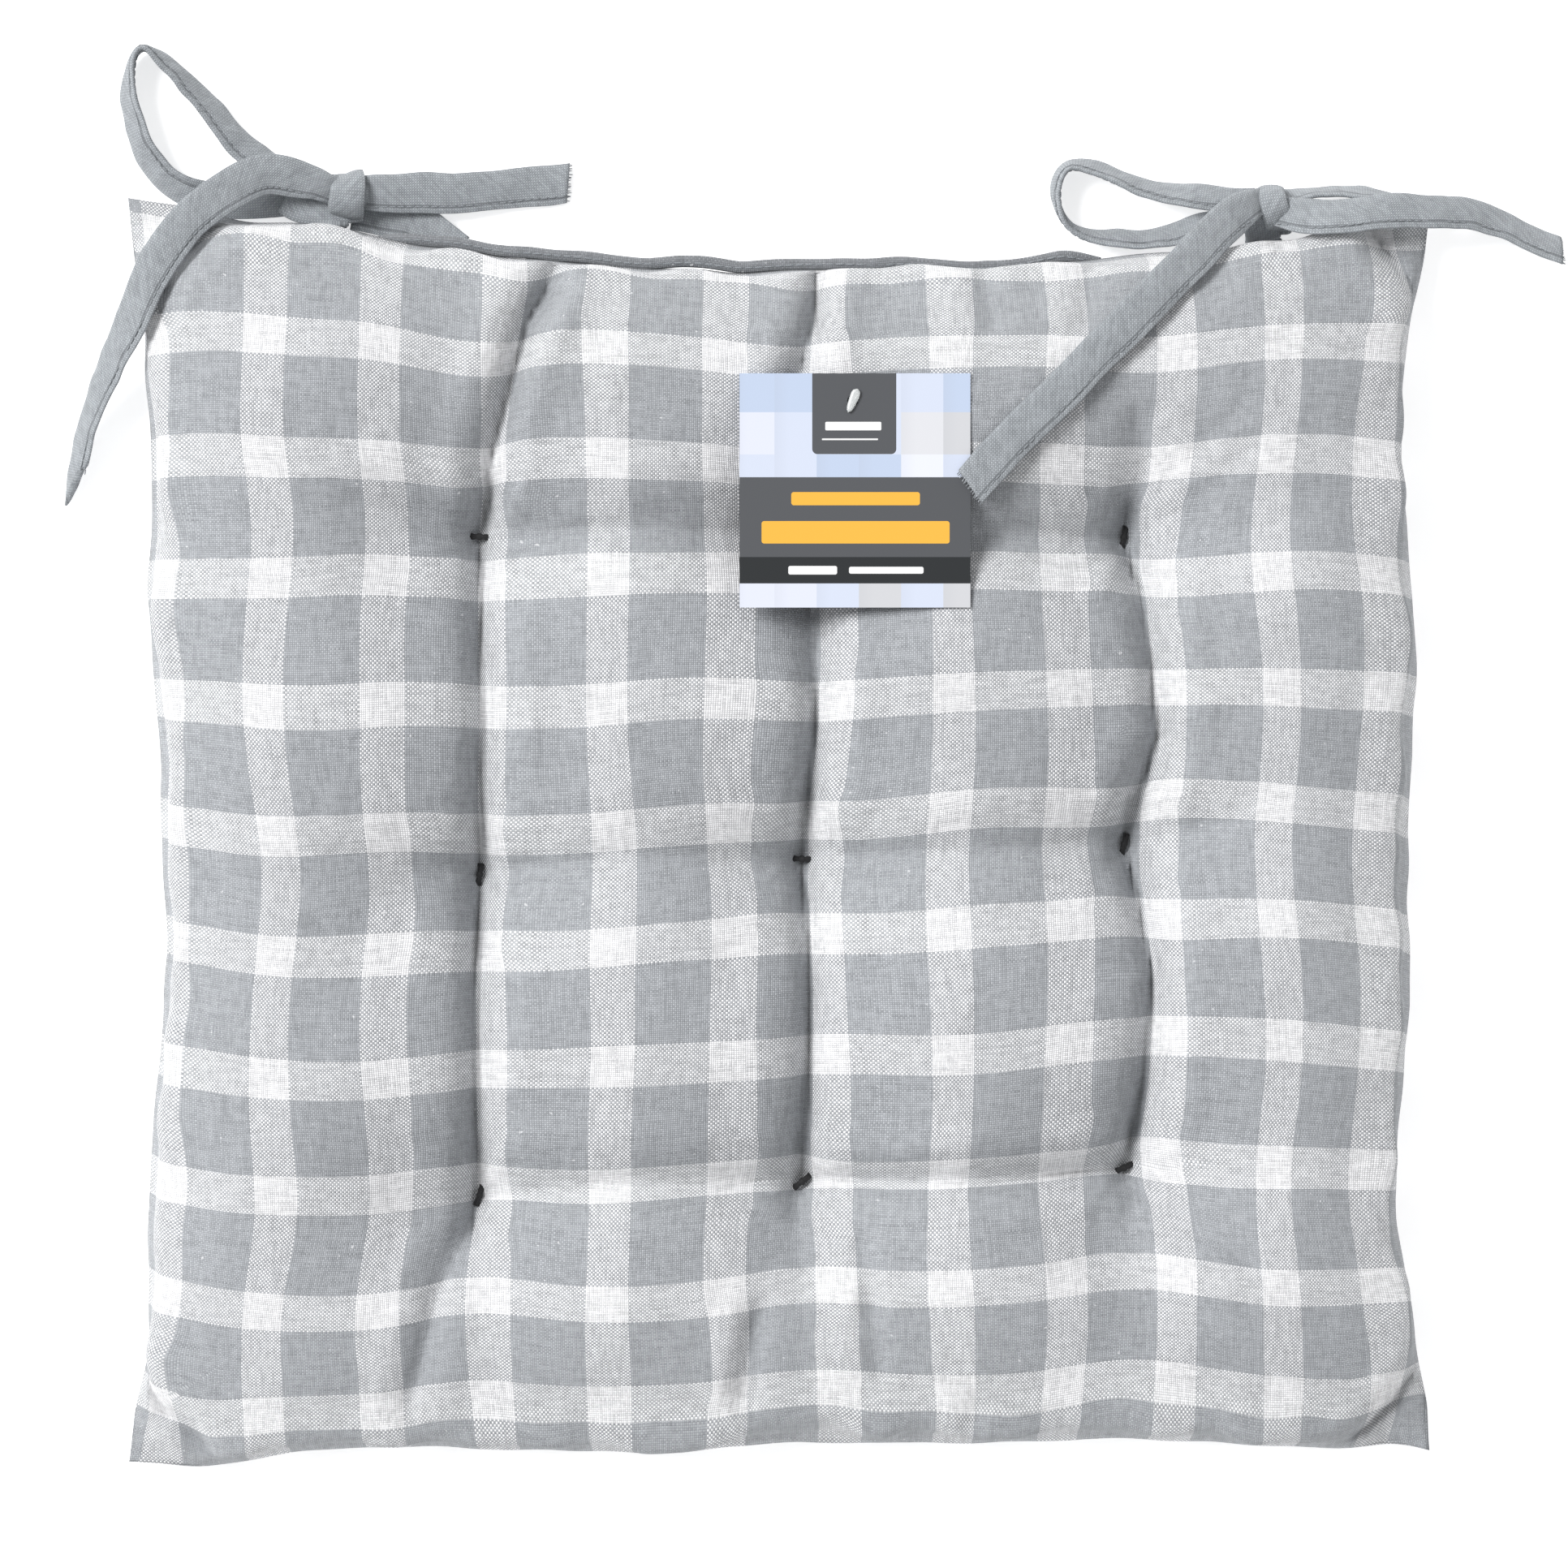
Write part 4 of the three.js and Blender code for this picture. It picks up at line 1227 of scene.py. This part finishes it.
def drape_outward(top, cut):
    """The crowns between the tufts slide outward over the filling, so the check bends in towards
    each row and column of tufts."""
    u, v = cut[..., 0] / HALF_WIDTH, cut[..., 1] / HALF_DEPTH
    held = 1 - np.maximum(np.abs(u), np.abs(v)) ** 8
    for axis, share in ((0, u), (1, v)):
        other = 1 - axis
        off = cut[..., other] - TUFT_CENTRE[other]
        rows = [np.abs(off - line * TUFT_PITCH) for line in (-1, 0, 1)]
        crown = 1 - np.exp(-((np.min(rows, axis=0) / CROWN_SPREAD) ** 2))
        top[..., axis] += CROWN_SHIFT * share * crown * held


def bulge(top, bottom, cut, places):
    """Both panels swell out over the drawn-in seam along the sides, but not at the corners, which
    stay pinched like ears. The swell comes and goes in scallops along the edge."""
    u, v = cut[..., 0] / HALF_WIDTH, cut[..., 1] / HALF_DEPTH
    scallops = ripple([(a, b, 0.3) for a, b, _ in places], EDGE_SCALLOPS["size"], 14).reshape(u.shape)
    for axis, value, half, other in ((0, u, HALF_WIDTH, v), (1, v, HALF_DEPTH, u)):
        inward = (1 - np.abs(value)) * half
        ears = 1 - smoothstep(np.abs(other), 0.80, 0.93)
        swell = EDGE_BULGE["size"] * np.exp(-(((inward - EDGE_BULGE["at"]) / EDGE_BULGE["width"]) ** 2))
        seam = EDGE_BULGE["seam"] * np.exp(-((inward / EDGE_BULGE["at"]) ** 2))
        for grid, share in ((top, 1.0), (bottom, EDGE_BULGE["underneath"])):
            push = swell * share * (1 + EDGE_SCALLOPS["depth"] * scallops) - seam
            grid[..., axis] += np.sign(value) * push * ears


def tighten_tufts(top, bottom):
    """The thread pulls a narrow pit into the cloth at each tuft."""
    for grid, way, pit in ((top, -1, TUFT_PIT["top"]), (bottom, 1, TUFT_PIT["bottom"])):
        for px, py in STITCH_PLACES:
            distance = np.hypot(grid[..., 0] - px, grid[..., 1] - py)
            grid[..., 2] += way * pit * np.exp(-((distance / TUFT_PIT["width"]) ** 1.5))


def beyond_card(x, y, low, high, turn):
    """How far places are outside the card's box when the card has swung by a turn in degrees."""
    cos, sin = math.cos(math.radians(turn)), math.sin(math.radians(turn))
    off_x, off_y = x - CARD_PIVOT[0], y - CARD_PIVOT[1]
    card_x = CARD_PIVOT[0] + cos * off_x + sin * off_y
    card_y = CARD_PIVOT[1] - sin * off_x + cos * off_y
    return np.maximum.reduce(
        [low[0] - card_x, card_x - high[0], low[1] - card_y, card_y - high[1], np.zeros_like(x)]
    )


def press_under(top, strands):
    """The cloth gives way under the tapes that lie on it and everywhere that the card swings."""
    x, y = top[..., 0], top[..., 1]
    for strand in strands.values():
        points = [spot for spot in strand.path(0.004) if spot[2] > SEAM_HEIGHT["side"] + 0.002]
        distance = np.full(x.shape, np.inf)
        limit = np.full(x.shape, np.inf)
        for spot in points:
            d = np.hypot(x - spot[0], y - spot[1])
            under = spot[2] - TAPE_THICKNESS / 2 - UNDER_TAPE
            nearer = d < distance
            distance = np.where(nearer, d, distance)
            limit = np.where(nearer, under, limit)
        beside = distance - (TAPE_WIDTH / 2 + BESIDE_TAPE)
        limit = limit + np.maximum(beside, 0) * RISE["near"]
        limit = limit + np.maximum(beside - RISE["from"], 0) * RISE["far"]
        top[..., 2] = np.minimum(top[..., 2], limit)
    low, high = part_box("tag_card")
    turns = np.linspace(*CARD_SWING, SWING_STEPS)
    over = np.min([beyond_card(x, y, low, high, turn) for turn in turns], axis=0)
    top[..., 2] = np.minimum(top[..., 2], low[2] - CARD_CLEARANCE + over * BESIDE_CARD_RISE)


def shell_faces(rows, columns, flip):
    """Faces of a closed shell whose outer and inner grids of vertices follow each other."""
    inner = rows * columns
    faces = []
    for j in range(rows - 1):
        for i in range(columns - 1):
            a, b = j * columns + i, j * columns + i + 1
            c, d = b + columns, a + columns
            outer_face = (a, b, c, d)
            inner_face = (a + inner, d + inner, c + inner, b + inner)
            faces.append(outer_face[::-1] if flip else outer_face)
            faces.append(inner_face[::-1] if flip else inner_face)
    rim = [*range(columns)]
    rim += [j * columns + columns - 1 for j in range(1, rows)]
    rim += [(rows - 1) * columns + i for i in range(columns - 2, -1, -1)]
    rim += [j * columns for j in range(rows - 2, 0, -1)]
    for p, q in zip(rim, rim[1:] + rim[:1]):
        face = (p + inner, q + inner, q, p)
        faces.append(face[::-1] if flip else face)
    return faces


def grid_normals(grid):
    """The unit normal at each point of a grid, upwards."""
    along_x = np.gradient(grid, axis=1)
    along_y = np.gradient(grid, axis=0)
    normals = np.cross(along_x, along_y)
    return normals / np.maximum(np.linalg.norm(normals, axis=2), 1e-12)[..., None]


def cover_piece(name, grid, flat, way):
    """One panel as a thin closed shell. way is 1 for the top panel and -1 for the bottom."""
    rows, columns = grid.shape[:2]
    inner = grid - grid_normals(grid) * CLOTH * way
    verts = np.vstack([grid.reshape(-1, 3), inner.reshape(-1, 3)])
    uvs = np.vstack([flat.reshape(-1, 2)] * 2)
    faces = shell_faces(rows, columns, way < 0)
    return add_piece(name, verts, faces, COTTON, "pad", uvs)


def make_covers(strands):
    """Shapes both panels, makes them and the filling between them, and returns the fine grids."""
    top, bottom, on_rim = start_shape()
    top, bottom = puff(top, bottom, on_rim)
    x, y = np.meshgrid(COLUMNS, ROWS)
    bow = CHECK_BOW * (1 - (x / HALF_WIDTH) ** 2)
    spots = [(a, b, 0.0) for a, b in zip(x.ravel(), y.ravel())]
    drift = [
        CHECK_DRIFT["reach"] * ripple(spots, CHECK_DRIFT["size"], seed).reshape(x.shape)
        for seed in (61, 62)
    ]
    flat = np.dstack([x - bow + drift[0], y + drift[1]])
    for axis, half, side in ((0, HALF_WIDTH, "right"), (1, -HALF_DEPTH, "front")):
        rolled = smoothstep(flat[..., axis] / half, 0.64, 1.0)
        flat[..., axis] += math.copysign(ROLLED_UNDER[side], half) * rolled
    flat = split_cells(flat, SPLITS)
    cut = split_cells(np.dstack([x, y]), SPLITS)
    top, bottom = split_cells(top, SPLITS), split_cells(bottom, SPLITS)
    u, v = np.abs(cut[..., 0]) / HALF_WIDTH, np.abs(cut[..., 1]) / HALF_DEPTH
    edge_fade = smoothstep(1 - np.maximum(u, v), 0.0, 0.07)

    drape_outward(top, cut)
    top_flat = flat.copy()
    crease(top, top_flat, edge_fade)
    pucker(top)
    tighten_tufts(top, bottom)
    places = [(a, b, 0.0) for a, b in cut.reshape(-1, 2)]
    bulge(top, bottom, cut, places)
    lumps = ripple(places, LUMPS["size"], 2).reshape(u.shape)
    wrinkles = ripple(places, WRINKLES["size"], 5).reshape(u.shape)
    top[..., 2] += (LUMPS["height"] * lumps + WRINKLES["height"] * wrinkles) * edge_fade
    press_under(top, strands)
    bottom[..., 2] = np.maximum(bottom[..., 2], 0.0)

    rim_wave = ripple(places, RIM_WAVE["size"], 9).reshape(u.shape)
    at_edge = smoothstep(np.maximum(u, v), 0.93, 1.0)
    outward = cut / np.maximum(np.linalg.norm(cut, axis=2), 1e-9)[..., None]
    for grid in (top, bottom):
        grid[..., :2] += outward * (RIM_WAVE["sideways"] * rim_wave * at_edge)[..., None]
        grid[..., 2] += RIM_WAVE["height"] * rim_wave * at_edge
    top[..., 2] += PANEL_GAP
    bottom[..., 2] -= PANEL_GAP * at_edge

    top_piece = cover_piece("top_cover_cloth", top, top_flat, 1)
    bottom_piece = cover_piece("bottom_cover_cloth", bottom, flat, -1)
    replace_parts(top_piece, "top_cover")
    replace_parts(bottom_piece, "bottom_cover")
    filling_piece = make_filling(top, bottom, cut)
    return top, bottom


def make_filling(top, bottom, cut):
    """The block of fibre: both panels' shapes, a little inside them and short of the seam."""
    inset, reach = FILLING["short_of_seam"], FILLING["look_around"]
    kept = (slice(inset, -inset, FILLING_STEP), slice(inset, -inset, FILLING_STEP))
    floor, roof = top[..., 2].copy(), bottom[..., 2].copy()
    for j in range(-reach, reach + 1):
        for i in range(-reach, reach + 1):
            floor = np.minimum(floor, np.roll(top[..., 2], (j, i), (0, 1)))
            roof = np.maximum(roof, np.roll(bottom[..., 2], (j, i), (0, 1)))
    upper, lower = top[kept].copy(), bottom[kept].copy()
    upper[..., 2] = floor[kept] - FILLING["under"]
    lower[..., 2] = roof[kept] + FILLING["over"]
    middle = (upper[..., 2] + lower[..., 2]) / 2
    upper[..., 2] = np.maximum(upper[..., 2], middle + FILLING["half_thickness"])
    lower[..., 2] = np.minimum(lower[..., 2], middle - FILLING["half_thickness"])
    share = np.maximum(np.abs(cut[..., 0]) / HALF_WIDTH, np.abs(cut[..., 1]) / HALF_DEPTH)
    drawn = smoothstep(share[kept], FILLING["from"], FILLING["full_at"])
    shrink = 1 - FILLING["draw_in"] * drawn
    upper[..., :2] *= shrink[..., None]
    lower[..., :2] *= shrink[..., None]
    rows, columns = upper.shape[:2]
    verts = np.vstack([upper.reshape(-1, 3), lower.reshape(-1, 3)])
    piece = add_piece(
        "filling_fibre", verts, shell_faces(rows, columns, False), FIBRE, "pad"
    )
    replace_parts(piece, "filling")
    return piece


# --- Threads, lip and tag ------------------------------------------------------------------------


def tube(points, radius, sides=8, twist=0.0, plies=1):
    """A closed tube along points. With plies above 1 its section is lobed and turns like rope."""
    points = [Vector(p) for p in points]
    verts = []
    run = 0.0
    previous = None
    for i, point in enumerate(points):
        ahead = points[min(i + 1, len(points) - 1)]
        behind = points[max(i - 1, 0)]
        along = (ahead - behind).normalized()
        reference = previous if previous is not None else Vector((0.31, 0.17, 0.94))
        sideways = (reference - along * reference.dot(along)).normalized()
        previous = sideways
        lifted = along.cross(sideways)
        if i:
            run += (point - points[i - 1]).length
        for k in range(sides):
            angle = 2 * math.pi * k / sides
            lobe = 1 + (0.18 * math.cos(plies * (angle - run * twist)) if plies > 1 else 0)
            verts.append(point + (sideways * math.cos(angle) + lifted * math.sin(angle)) * radius * lobe)
    return verts, ring_faces(len(points), sides)


def surface_height(grid, x, y):
    """Height of a fine panel grid at its vertex nearest to a place in plan."""
    nearest = np.argmin((grid[..., 0] - x) ** 2 + (grid[..., 1] - y) ** 2)
    return float(grid[..., 2].ravel()[nearest])


def thread_level(grid, centre, along, half, way):
    """Where a thread bar rests: on the highest cloth under it, or the lowest for the underside."""
    spots = [centre + along * half * share for share in (-0.8, -0.4, 0, 0.4, 0.8)]
    heights = [surface_height(grid, spot.x, spot.y) * way for spot in spots]
    return way * sorted(heights)[-2]


def make_tuft(number, place, top, bottom):
    """Three turns of black thread over the cloth, gathered by a knot, and the same below."""
    px, py = place
    turn = math.radians(TUFT_TURNS[number - 1])
    along = Vector((math.cos(turn), math.sin(turn), 0))
    sideways = Vector((-along.y, along.x, 0))
    centre = Vector((px, py, 0))
    upper = thread_level(top, centre, along, TUFT_BAR["top"], 1)
    lower = thread_level(bottom, centre, along, TUFT_BAR["bottom"], -1)
    parts = []
    for level, way, half in ((upper, 1, TUFT_BAR["top"]), (lower, -1, TUFT_BAR["bottom"])):
        for lane in (-1, 0, 1):
            points = []
            for k in range(17):
                share = -1 + 2 * k / 16
                arch = 0.0009 + 0.0009 * (1 - share**4)
                stray = 0.0002 * noise.noise(Vector((number * 5.1, lane * 2.7, k * 0.4)))
                points.append(
                    centre + along * half * share
                    + sideways * (lane * TUFT_LANE * (1 - 0.35 * (1 - share**2)) + stray)
                    + Vector((0, 0, level + way * (arch + 0.0002 * (lane == 0))))
                )
            parts.append((*tube(points, TUFT_THREAD, 10, 1500, 2), None, 0))
        if way > 0:
            knot_place = (px * 1000, py * 1000, (level + way * 0.0018) * 1000)
            verts, faces = ellipsoid(knot_place, (1.1, 1.2, 0.8), number, 8, 12)
            parts.append((verts, faces, None, 0))
    shank = [Vector((px, py, lower + (upper - lower) * k / 12)) for k in range(13)]
    parts.append((*tube(shank, 0.0009, 10, 900, 3), None, 0))
    verts, faces, uvs, slots = join_parts(parts)
    name = f"tuft_stitch_{number}"
    piece = add_piece(
        f"{name}_thread", verts, faces, BLACK_THREAD, "pad", uvs, slots
    )
    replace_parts(piece, name)


def add_stitches(name, rods):
    """Grey stitches on the pad, each a small rod."""
    verts, faces, uvs, slots = join_parts([(v, f, None, 0) for v, f in rods])
    return add_piece(name, verts, faces, GREY_THREAD, "pad", uvs, slots)


def rim_points(grid, inward):
    """The seam line of a fine panel grid, moved inwards in plan, front edge first."""
    loop = np.concatenate([grid[0, :-1], grid[:-1, -1], grid[-1, :0:-1], grid[:0:-1, 0]])
    lengths = np.linalg.norm(loop[:, :2], axis=1)
    moved = loop.copy()
    moved[:, :2] *= (1 - inward / lengths)[:, None]
    return moved


def make_edge_thread(top):
    """The seam's lock stitches, sunk between the two panels."""
    line = rim_points(top, 0.0012)
    rods = []
    spots = line[::2]
    for a, b in zip(spots, np.roll(spots, -1, axis=0)):
        start, end = Vector(a), Vector(b)
        rods.append(capsule(start.lerp(end, 0.06), start.lerp(end, 0.94), 0.0003, (0, 0, 1)))
    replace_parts(add_stitches("edge_seam_stitches", rods), "edge_seam_thread")


def make_lip(top):
    """The folded rear edge, sewn shut from outside, with its topstitches."""
    rear = top[-1]
    inside_lip = rear[(rear[:, 0] > LIP["start"]) & (rear[:, 0] < LIP["end"])][::3]
    route = []
    for x, y, z in inside_lip:
        sway = 0.5 * noise.noise(Vector((x * 60, 3.5, 0.5)))
        along = (x - LIP["start"]) / (LIP["end"] - LIP["start"])
        tuck = 3.2 * (1 - smoothstep(along, 0, 0.05)) + 3.2 * smoothstep(along, 0.95, 1)
        out = 1.7 + sway - tuck
        rise = -0.4 + sway - tuck * 0.5
        route.append((x * 1000, y * 1000 + out, z * 1000 + rise, -18))
    strand = Strand(route)
    verts, faces, flat = tape_mesh(
        strand, LIP["depth"], LIP["thickness"], 0, seed=51, wave=0.00025, section_points=9
    )
    # The lip's cloth carries painted shade for the shadow of its folds.
    piece = add_piece("closing_lip_cloth", verts, faces, LIP_COTTON_PAINTED_SHADE, "pad", flat)
    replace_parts(piece, "closing_lip")
    rods = []
    arc = LIP_STITCH["margin"]
    while arc + 0.003 < strand.length:
        place, edge, normal = strand.at(np.array([arc, arc + LIP_STITCH["length"]]))
        spots = place - edge * 0.0002 + normal * (LIP["thickness"] / 2 + 0.0004)
        rods.append(capsule(spots[0], spots[1], 0.00028, normal[0]))
        arc += LIP_STITCH["pitch"]
    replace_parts(add_stitches("closing_lip_stitches", rods), "closing_lip_thread")


def make_fastener():
    """The clear plastic barb: a flat paddle on the card, its neck, and the bar under the cloth."""
    low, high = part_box("tag_fastener")
    x, y = (low[0] + high[0]) / 2, (low[1] + high[1]) / 2
    tilt = math.radians(68)
    along = Vector((math.cos(tilt), math.sin(tilt), 0))
    sideways = Vector((-along.y, along.x, 0))
    verts = []
    rings, sides = 15, 16
    for i in range(rings):
        share = -1 + 2 * i / (rings - 1)
        width = 0.0013 * (1 - abs(share) ** 4 * 0.98) ** 0.5 * (1 + 0.25 * share)
        for k in range(sides):
            angle = 2 * math.pi * k / sides
            verts.append(
                Vector((x, y, high[2] - 0.00055)) + along * (share * 0.0038)
                + sideways * math.cos(angle) * width + Vector((0, 0, math.sin(angle) * 0.0005))
            )
    faces = ring_faces(rings, sides)
    neck = [Vector((x, y, low[2] + 0.0006 + (high[2] - low[2] - 0.0012) * k / 8)) for k in range(9)]
    bar = [Vector((x - 0.004 + 0.008 * k / 8, y, low[2] + 0.0006)) for k in range(9)]
    parts = [(verts, faces, None, 0), (*tube(neck, 0.0005, 10), None, 0), (*tube(bar, 0.0006, 10), None, 0)]
    verts, faces, uvs, slots = join_parts(parts)
    piece = add_piece("tag_fastener_clear", verts, faces, PLASTIC, "pad", uvs, slots)
    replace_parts(piece, "tag_fastener")


def dress_card():
    """The card keeps its CAD shape and gets its print."""
    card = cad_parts["tag_card"]
    for slot_number in range(len(card.material_slots)):
        card.material_slots[slot_number].material = CARD


# --- The scene -----------------------------------------------------------------------------------

studio()
strands = make_ties()
top, bottom = make_covers(strands)
for number, place in enumerate(STITCH_PLACES, start=1):
    make_tuft(number, place, top, bottom)
make_edge_thread(top)
make_lip(top)
make_fastener()
dress_card()
